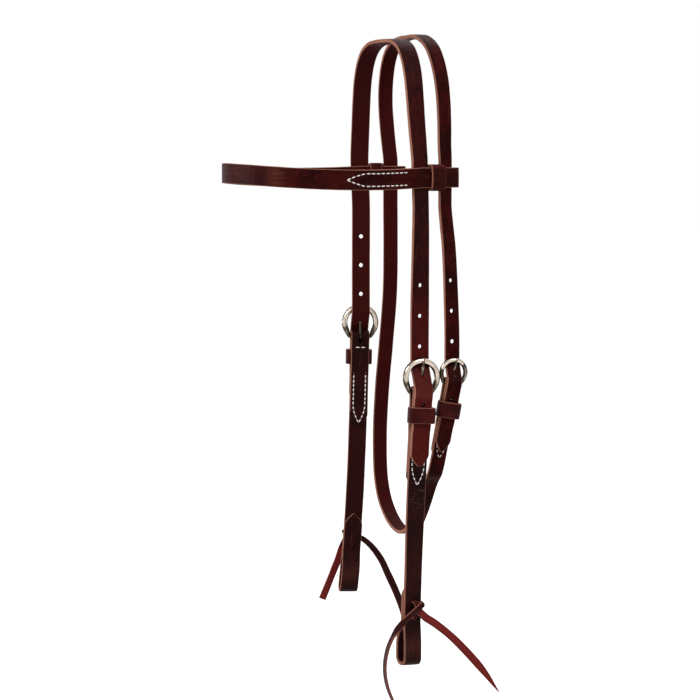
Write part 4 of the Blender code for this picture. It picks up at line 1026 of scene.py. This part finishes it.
def make_throat_latch():
    seat = THROAT_SEAT
    legs = []
    for side, _ in SIDES:
        leg = Vector((side * LEG_HALF_SPACING, 0, 0)) + leg_across(side) * THROAT_SPACING
        legs.append(leg_keys(side, THROAT_ARCH[side], leg, LEATHER / 2 + THROAT_RISE, THROAT_TOP_FORWARD,
                             THROAT_FORWARD_DEPTH))
    near, far = legs

    tail = threaded(seat, THROAT_BUCKLE, THROAT_TAIL)
    start, start_across, _ = tail[0]
    foot, across = near[-1]
    for down_share, out_share in THROAT_NEAR:
        point = foot.lerp(start, out_share)
        point.z = foot.z + (start.z - foot.z) * down_share
        near.append((point, across.lerp(start_across, down_share).normalized()))
    near = led_into(near, tail, THROAT_RING[0], 1)

    foot = far[-1][0]
    for x_share, y_share, z_share in THROAT_LOOP:
        point = Vector((THROAT_LOOP_HALF_WIDTH * x_share, foot.y + (THROAT_LOW_Y - foot.y) * y_share,
                        foot.z + (-THROAT_LOW - foot.z) * z_share))
        far.append((point, leg_across(-1, max(0.0, 1 - z_share * 1.2))))
    far += [(seat.at(0, SEWN_LAYER, v), seat.across) for v in (-THROAT_SEWN_END, -KEEPER_END * 1.4)]
    fold = rounded(folded_corners(THROAT_BUCKLE, THROAT_SEWN_END))
    far = smooth_stations(far) + [(seat.at(0, w, v), seat.across, 1.0) for w, v in reversed(fold)]

    route = both_pointed(near[::-1] + far[1:])
    material = leather("throat_leather", MAHOGANY, shift=71.0, polish=0.018)
    latch = strap("throat_latch", route, THROAT_WIDTH, LEATHER, material, (0, (1, 0, 0)), columns=6)
    punch = Punch()
    punch_row(punch, route, seat, THROAT_BUCKLE, -1)
    punch.cut(latch)
    punch = Punch()
    slot_fold(punch, seat, THROAT_BUCKLE)
    punch.cut(latch)
    put(latch, "throat_latch", "throat_latch_strap")


def make_cheek_piece(side, word):
    seat = SEATS[side]
    bottom = -CHEEK_LENGTH + LEATHER / 2
    loop_top = -CHEEK_LENGTH + BIT_LOOP_HEIGHT
    outer = SEWN_LAYER * 2
    inner = outer - BIT_LOOP_WIDTH
    belly = loop_top - BIT_LOOP_HEIGHT * BIT_LOOP_ROUND
    round_end = BIT_LOOP_WIDTH * BIT_LOOP_ROUND
    corners = folded_corners(CHEEK_BUCKLE, CHEEK_SEWN_END)
    corners += [(SEWN_LAYER, loop_top, EASE_RADIUS), (outer, belly, EASE_RADIUS),
                (outer, bottom, round_end), (inner, bottom, round_end),
                (inner, belly, EASE_RADIUS), (-SEWN_LAYER, loop_top, EASE_RADIUS),
                (-SEWN_LAYER, -CHEEK_LENGTH + CHEEK_FLAP, 0)]
    path = split_path(rounded(corners))
    route = both_pointed([(seat.at(0, w, v), seat.turned(v)[0], 1.0) for w, v in path])
    bend = run_to(route, seat.at(0, SEWN_LAYER, -CHEEK_SEWN_END - LEATHER * 2.5))
    low = run_to(route, seat.at(0, (outer + inner) / 2, bottom))
    # A painted highlight on both sides of the bit loop, and worn crease lines below the sewing painted with a
    # greyish sheen
    material = leather("cheek_leather_" + word, DARK_MAHOGANY, shift=140.0 + side * 31,
                       crease=(bend, LEATHER * 3.5), skived=POINT_LENGTH * 1.1,
                       painted_highlight=(low, BIT_LOOP_HEIGHT * 0.55, BIT_LOOP_HEIGHT * 0.4))
    cheek = strap("cheek_" + word, route, STRAP_WIDTH, LEATHER, material, (0, -seat.outward))
    punch = Punch()
    slot_fold(punch, seat, CHEEK_BUCKLE)
    for rise in (TIE_HOLE_UPPER, TIE_HOLE_LOWER):
        v = rise - CHEEK_LENGTH
        punch.hole(seat.at(0, 0, v), seat.up, seat.turned(v)[0], TIE_SLIT_HEIGHT / 2, LEATHER * 2 + 0.004,
                   TIE_SLIT_WIDTH - TIE_SLIT_HEIGHT, flare=0)
    punch.cut(cheek)
    put(cheek, "cheek_" + word, "cheek_piece_" + word)


def make_keeper(name, body, node, seat, width, shift):
    half = width / 2 + KEEPER_SLACK + LOOP_LEATHER / 2
    front = TAIL_AT_KEEPER + LEATHER / 2 + CLEARANCE + LOOP_LEATHER / 2
    corner = LOOP_LEATHER * 1.7
    corners = [(half, 0, corner), (half, front, corner), (0, front + KEEPER_BOW, half * 5),
               (-half, front, corner), (-half, 0, corner)]
    middle = -KEEPER_TOP - KEEPER_HEIGHT / 2
    stations = [(seat.at(b, w, middle), seat.up, 1.0) for b, w in loop_path(corners, LOOP_STEP)]
    material = leather(name + "_leather", LOOP_RED, shift=shift)
    facing = (0, stations[0][0] - seat.at(0, front / 2, middle))
    item = strap(name, stations, KEEPER_HEIGHT, LOOP_LEATHER, material, facing, True, columns=6)
    put(item, body, node)


def ring_points(buckle):
    """The ring's mid line in (b, v), and the radius of its wire along it."""
    end = RING_ARC_END
    foot = Vector((math.cos(end), math.sin(end))) * buckle.radius
    drop = foot.y + buckle.bar_drop
    corner = foot.x + math.sin(end) * drop / math.cos(end)
    sweep = math.pi - 2 * end
    steps = math.ceil(sweep / RING_TURN)
    angles = [end + sweep * k / steps for k in range(steps + 1)]
    corners = [(math.cos(angle) * buckle.radius, math.sin(angle) * buckle.radius, 0) for angle in angles]
    corners += [(side * corner, -buckle.bar_drop, buckle.radius * RING_CORNER_SHARE) for side in (-1, 1)]
    points = loop_path(corners, RING_STEP)
    return points, [buckle.ring_wire + (buckle.bar_wire - buckle.ring_wire) * ease((foot.y - point.y) / drop)
                    for point in points]


def make_buckle(name, seat, buckle, ring_body, tongue_body, material, painted_lit_side=0.0, painted_shade=1.0):
    """A ring and its tongue, painted with shade. The ring is painted brightest in the direction
    painted_lit_side, turned back from its top.
    """
    points, radii = ring_points(buckle)
    lift = seat.at(0, 0, -buckle.bar_drop) - (seat.origin - seat.up * buckle.bar_drop)
    spots = [seat.origin + seat.across * b + seat.up * v + lift for b, v in points]
    # The ring is painted darker with shade away from its painted lit side, as strongly as painted_shade says
    top = Vector((math.sin(painted_lit_side), math.cos(painted_lit_side)))
    low = [min(1.0, painted_shade * (0.5 - 0.5 * point.normalized().dot(top))) for point in points]
    side = seat.across.cross(seat.up).normalized()
    ring = tube(name + "_ring", spots, side, radii, material, RING_SIDES, True, low)
    put(ring, ring_body, name + "_frame")

    sweep = 1.5 * math.pi + EYE_START - math.atan2(buckle.prong.y, buckle.prong.x)
    steps = math.ceil(sweep / EYE_TURN)
    angles = [EYE_START - sweep * k / steps for k in range(steps + 1)]
    path = [Vector((0, -buckle.bar_drop)) + Vector((math.cos(angle), math.sin(angle))) * buckle.eye_radius
            for angle in angles]
    shares = [k / PRONG_STEPS for k in range(1, PRONG_STEPS + 1)]
    # The tongue's eye is painted dark as shade, and its prong less so towards the tip
    low = [EYE_PAINTED_SHADE] * len(path) + [EYE_PAINTED_SHADE - TIP_PAINTED_SHADE_LESS * share for share in shares]
    path += [path[-1].lerp(buckle.prong_tip + buckle.prong * buckle.ring_wire, share) for share in shares]
    radii = [buckle.tongue_wire * share for share in [1.0] * (len(path) - len(TONGUE_END)) + list(TONGUE_END)]
    spots = [seat.at(0, w, v) for w, v in path]
    tongue = tube(name + "_prong", spots, seat.across, radii, material, PRONG_SIDES, along=low)
    put(tongue, tongue_body, name + "_tongue")


class Band:
    """The browband's mid line on the near side, from the front to its fold, seen from above."""

    def __init__(self):
        keys = [Vector((BAND_HALF_WIDTH * x, -BAND_FRONT * y)) for x, y in BAND_PLAN]
        keys += [Vector((LEG_HALF_SPACING, 0)) + leg_across(1).xy * run
                 for run in (-BAND_STRAIGHT, -BAND_STRAIGHT / 2, BAND_FOLD / 2, BAND_FOLD)]
        keys.insert(0, Vector((-keys[1].x, keys[1].y)))
        points = spline(keys)
        first = min(range(len(points)), key=lambda i: abs(points[i].x))
        self.spine = [Vector((0, points[first].y))] + [p for p in points[first + 1:] if p.x > 0]
        self.normals = [Vector((way.y, -way.x)) for way in ways(self.spine)]
        self.normals[0] = Vector((0, -1))
        self.lengths = run_lengths(self.spine)
        self.total = self.lengths[-1]

    def half_gap(self, length):
        """Half the space between the layers' mid lines."""
        wide = LEATHER + BAND_CLEARANCE
        run = self.total - length - BAND_FOLD - STRAP_WIDTH / 2 - CLEARANCE
        return wide + (SEWN_LAYER - wide) * ease(run / (BAND_SEWN_GAP - STRAP_WIDTH / 2))

    def placed(self, point, side):
        """The point in the frame, on this side, at the band's height there."""
        share = max(0.0, -point.y / BAND_FRONT)
        rise = BAND_RISE * share * (2 * share - 1) - BAND_SAG * 4 * share * (1 - share)
        rise -= BAND_DROP + BAND_TILT * point.x * side / LEG_HALF_SPACING
        return Vector((point.x * side, point.y, rise))

    def face(self, forward, rise, side, layer):
        """A point on the outer (1) or inner (-1) face, this far before the leg, and its outward way."""
        run = self.total - BAND_FOLD - forward
        i, share = spot_on(self.lengths, run)
        normal = self.normals[i - 1].lerp(self.normals[i], share).normalized()
        out = normal * layer
        point = self.spine[i - 1].lerp(self.spine[i], share) + out * (self.half_gap(run) + LEATHER / 2)
        return self.placed(point, side) + UP * rise, Vector((out.x * side, out.y, 0))


def make_browband(cream):
    band = Band()
    outer, inner = [], []
    for point, normal, length in zip(band.spine, band.normals, band.lengths):
        gap = band.half_gap(length)
        outer.append(point + normal * gap)
        if band.total - length <= BAND_FOLD + BAND_SEWN_GAP + BAND_SEWN_LENGTH:
            inner.append(point - normal * gap)
    onward = (band.spine[-1] - band.spine[-2]).normalized()
    for k in range(1, BAND_BEND_STEPS):
        angle = math.pi * k / BAND_BEND_STEPS
        spoke = band.normals[-1] * math.cos(angle) + onward * math.sin(angle)
        outer.append(band.spine[-1] + spoke * (LEATHER + BAND_CLEARANCE))
    half = outer + inner[::-1]
    far = [(band.placed(point, -1), UP, 1.0) for point in half[:0:-1]]
    route = both_pointed(far + [(band.placed(point, 1), UP, 1.0) for point in half])
    middle = min(range(len(route)), key=lambda i: route[i][0].y)
    # A painted highlight on each side of the band's front bend
    material = leather("band_leather", MAHOGANY, shift=220.0, polish=0.025,
                       painted_highlight=(run_lengths(centres(route))[middle], *BAND_PAINTED_HIGHLIGHT))
    item = strap("brow", route, BAND_WIDTH, LEATHER, material, (middle, (0, -1, 0)))
    put(item, "browband", "browband")

    half_width, start, end, slant, slant_length = BAND_SEWING
    rows = []
    for side, _ in SIDES:
        for layer in (1, -1):
            for rise in (half_width, -half_width):
                rows.append([band.face(start + (end - start) * k / 16, rise, side, layer) for k in range(17)])
                slants = [(slant + slant_length * k / 6, rise * (1 - (k / 6) ** 1.25)) for k in range(7)]
                rows.append([band.face(forward, height, side, layer) for forward, height in slants])
    sew("brow_sewing", rows, cream, "browband")


def make_band_keeper(side, word):
    outward, back = directions(side, SPLAY)
    crown_shift = TOP_FORWARD * (1 - (BAND_DROP / FORWARD_DEPTH) ** 2)
    gap = (STRAP_WIDTH / 2 - crown_shift + THROAT_SPACING - THROAT_WIDTH / 2) / 2
    centre = Vector((side * LEG_HALF_SPACING, 0, -BAND_DROP - BAND_TILT * side)) + back * gap
    deep = LEATHER + BAND_CLEARANCE + LEATHER / 2 + CLEARANCE + LOOP_LEATHER / 2
    tall = BAND_WIDTH / 2 + CLEARANCE * 2 + LOOP_LEATHER / 2
    corner = LOOP_LEATHER * 1.3
    corners = [(deep, tall, corner), (-deep, tall, corner), (-deep, -tall, corner), (deep, -tall, corner),
               (deep + BAND_KEEPER_BOW, 0, tall * 5)]
    stations = []
    for w, z in loop_path(corners, LOOP_STEP):
        share = 1 + BAND_KEEPER_FLARE * ease((w - LEATHER) / (deep - LEATHER))
        stations.append((centre + outward * w + UP * z, back, share))
    material = leather("band_keeper_leather_" + word, LOOP_RED, shift=300 + 17 * side, polish=0.025)
    facing = (0, stations[0][0] - centre)
    item = strap("band_loop_" + word, stations, BAND_KEEPER_LENGTH, LOOP_LEATHER, material, facing, True,
                 columns=5)
    put(item, "band_keeper_" + word, "browband_keeper_" + word)


def tie_route(side):
    """Corners (b, w, v, radius, width share) of a tie, from where its first end leaves to the last."""
    face = SEWN_LAYER + LEATHER / 2
    level = [face + CLEARANCE + LACE_THICKNESS / 2 + k * (LACE_THICKNESS + CLEARANCE) for k in range(3)]
    upper = TIE_HOLE_UPPER - CHEEK_LENGTH
    lower = TIE_HOLE_LOWER - CHEEK_LENGTH
    pitch = upper - lower
    slim = LACE_SQUEEZE
    tight = LACE_THICKNESS * 0.75
    bend = LACE_THICKNESS + CLEARANCE
    apex = (LACE_WIDTH * 1.02, upper - LACE_THICKNESS / 2)
    leave = (-LACE_WIDTH * 1.4, lower + pitch * TIE_LAST[side])
    wide, deep = TIE_FIRST[side]
    corners = [
        (LACE_WIDTH * wide, level[1], upper - pitch * deep, 0, 1.0),
        (LACE_WIDTH * 0.62, level[1], upper - pitch * 0.55, LACE_WIDTH, 1.0),
        (0, level[1], upper, tight, slim),
        (0, -level[0], upper, tight, slim),
        (0, -level[0], lower, tight, slim),
        (0, level[0], lower, tight, slim),
        (apex[0], level[0], apex[1], bend, KNOT_SQUEEZE),
        (apex[0], level[2], apex[1], bend, KNOT_SQUEEZE),
        (leave[0], level[2], leave[1], 0, KNOT_SQUEEZE),
    ]
    return [(b * side, w, v, radius, share) for b, w, v, radius, share in corners]


def tie_across(corners, i, side):
    """Across the lace at a corner, in (b, v), square to the runs that meet there."""
    whole = Vector((0, 0))
    for before, after in zip(corners[max(0, i - 1):i + 2], corners[max(1, i):i + 2]):
        run = Vector((after[0] - before[0], after[2] - before[2]))
        if run.length > CLEARANCE:
            crossing = Vector((-run.y, run.x)).normalized()
            whole += crossing if crossing.x * side < 0 else -crossing
    return whole.normalized()


def between(before, after):
    """The stations between two, turned evenly from one to the other."""
    twist = before[1].angle(after[1])
    count = max(math.ceil(twist / TURN_STEP), math.ceil((after[0] - before[0]).length / KNOT_STEP))
    return [(before[0].lerp(after[0], k / count), before[1].slerp(after[1], k / count),
             before[2] + (after[2] - before[2]) * k / count) for k in range(1, count)]


def make_tie(side, word, material):
    """A tie through both holes. Its returned stations end a little short of the piece's own ends."""
    seat = SEATS[side]
    corners = tie_route(side)
    stations = []
    for i, corner in enumerate(corners):
        points = [Vector(corner[:3])]
        if 0 < i < len(corners) - 1:
            points = rounded([(*corners[i - 1][:3], 0), corner[:4], (*corners[i + 1][:3], 0)])[1:-1]
        ab, av = tie_across(corners, i, side)
        for point in points:
            across = seat.turned(point.z)[0] * ab + seat.up * av
            here = (seat.at(*point), across.normalized(), corner[4])
            if stations:
                stations += between(stations[-1], here)
            stations.append(here)
    stations = fine(stations, LACE_STEP)
    whole = list(stations)
    for end, inner in ((0, 1), (-1, -2)):
        along = (stations[end][0] - stations[inner][0]).normalized()
        whole[end] = (stations[end][0] + along * CLEARANCE * 0.9, *stations[end][1:])
    item = strap("tie_" + word, whole, LACE_WIDTH, LACE_THICKNESS, material, (len(whole) - 1, seat.outward),
                 columns=4, wave=0.03)
    put(item, "cheek_" + word, "bit_tie_" + word)
    return stations


def make_tie_end(name, body, last, before_last, side, material, points, facing, turn, point_share, grain):
    """A free end of a tie: a flat lace on from the knot, its face turning as it goes."""
    start, across, squeeze = last
    along = (start - before_last[0]).normalized()
    first = start + along * CLEARANCE
    route = spline([first, first + along * LACE_THICKNESS] + [Vector(p) for p in points], LOOP_STEP)
    first_face = across.cross(along)
    first_face *= math.copysign(1, first_face.x * side)
    last_face = Vector(facing) * Vector((side, 1, 1))
    stations = []
    for i, (point, way) in enumerate(zip(route, ways(route))):
        turned = min(1.0, i / len(route) / turn)
        face = first_face.lerp(last_face, turned)
        stations.append((point, way.cross(face).normalized(), squeeze + (1 - squeeze) * turned))
    stations[0] = (first, along.cross(first_face).normalized(), squeeze)
    if point_share > 0:
        stations = pointed(stations, LACE_WIDTH * point_share)
    item = strap("lace_" + name, stations, LACE_WIDTH, LACE_THICKNESS, material, (0, first_face * grain),
                 columns=4, wave=0.05)
    put(item, body, "tie_end_" + name)


def make_ties():
    """Both ties and their free ends, each end (name, points, facing, turn, point, its side outward)."""
    lace = leather("latigo", LATIGO, gloss=0.46, shift=400.0)
    knot = leather("dark_latigo", DARK_LATIGO, gloss=0.46, shift=431.0)
    ties = {1: leather("tie_latigo", DARK_LATIGO, gloss=0.46, shift=431.0,
                       ruddy_and_lit=(0.0, LACE_WIDTH * 1.4, LACE_WIDTH / 2), bright=LATIGO[4]),
            -1: leather("dark_edged_latigo", DARK_EDGED_MAHOGANY, gloss=0.46, shift=455.0)}
    ends = {1: (("near_rear", NEAR_REAR_TIE, FACING_OUT, SLOW_TURN, 5.0, -1),
                ("near_front", NEAR_FRONT_TIE, FACING_FRONT, QUICK_TURN, 0.0, 1)),
            -1: (("far_front", FAR_FRONT_TIE, FACING_OUT, SLOW_TURN, 0.0, 1),
                 ("far_rear", FAR_REAR_TIE, FACING_OUT, SLOW_TURN, 0.0, -1))}
    for side, word in SIDES:
        tie = make_tie(side, word, ties[side])
        for (name, *rest), last, before in zip(ends[side], (tie[0], tie[-1]), (tie[1], tie[-2])):
            material = lace if name in ("near_rear", "far_front") else knot
            make_tie_end(name, "cheek_" + word, last, before, side, material, *rest)


def sew_buckle(name, body, seat, sewing, cream):
    """The sewing below a buckle, on both faces: a bar above the keeper, two rows and their point."""
    half_width, top, end, tip = sewing

    def face(layer, b, v):
        w = (KEEPER_LAYER if v > -KEEPER_TOP else SEWN_LAYER) + LEATHER / 2
        return seat.at(b, w * layer, v), seat.turned(v)[1] * layer

    rows = []
    for layer in (1, -1):
        rows.append([face(layer, half_width * SEWN_BAR_SHARE * (2 * k / 3 - 1), -KEEPER_TOP + SEWN_BAR_RISE)
                     for k in range(4)])
        for b in (half_width, -half_width):
            rows.append([face(layer, b, top + (end - top) * k / 10) for k in range(11)])
            rows.append([face(layer, b * (1 - (k / 8) ** 1.7), end - SLANT_OVERLAP + (tip - end) * k / 8)
                         for k in range(9)])
    sew(name, rows, cream, body)


make_stage()
make_ties()
make_crown()
make_throat_latch()
cream = thread("cream_thread")
steel = nickel("polished_nickel")
make_browband(cream)
for side, word in SIDES:
    seat = SEATS[side]
    make_band_keeper(side, word)
    make_cheek_piece(side, word)
    body = "cheek_" + word
    make_keeper("cheek_loop_" + word, body, "cheek_keeper_" + word, seat, STRAP_WIDTH, 330 + 23 * side)
    make_buckle("cheek_buckle_" + word, seat, CHEEK_BUCKLE, "ring_" + word, "tongue_" + word, steel)
    sew_buckle("cheek_sewing_" + word, body, seat, CHEEK_SEWING, cream)
make_keeper("throat_loop", "throat_latch", "throat_keeper", THROAT_SEAT, THROAT_WIDTH, 377)
make_buckle("throat_buckle", THROAT_SEAT, THROAT_BUCKLE, "throat_ring", "throat_tongue", steel, THROAT_PAINTED_LIT_SIDE,
            THROAT_PAINTED_SHADE)
sew_buckle("throat_sewing", "throat_latch", THROAT_SEAT, THROAT_SEWING, cream)

for block in list(bpy.data.meshes):
    if not block.users:
        bpy.data.meshes.remove(block)
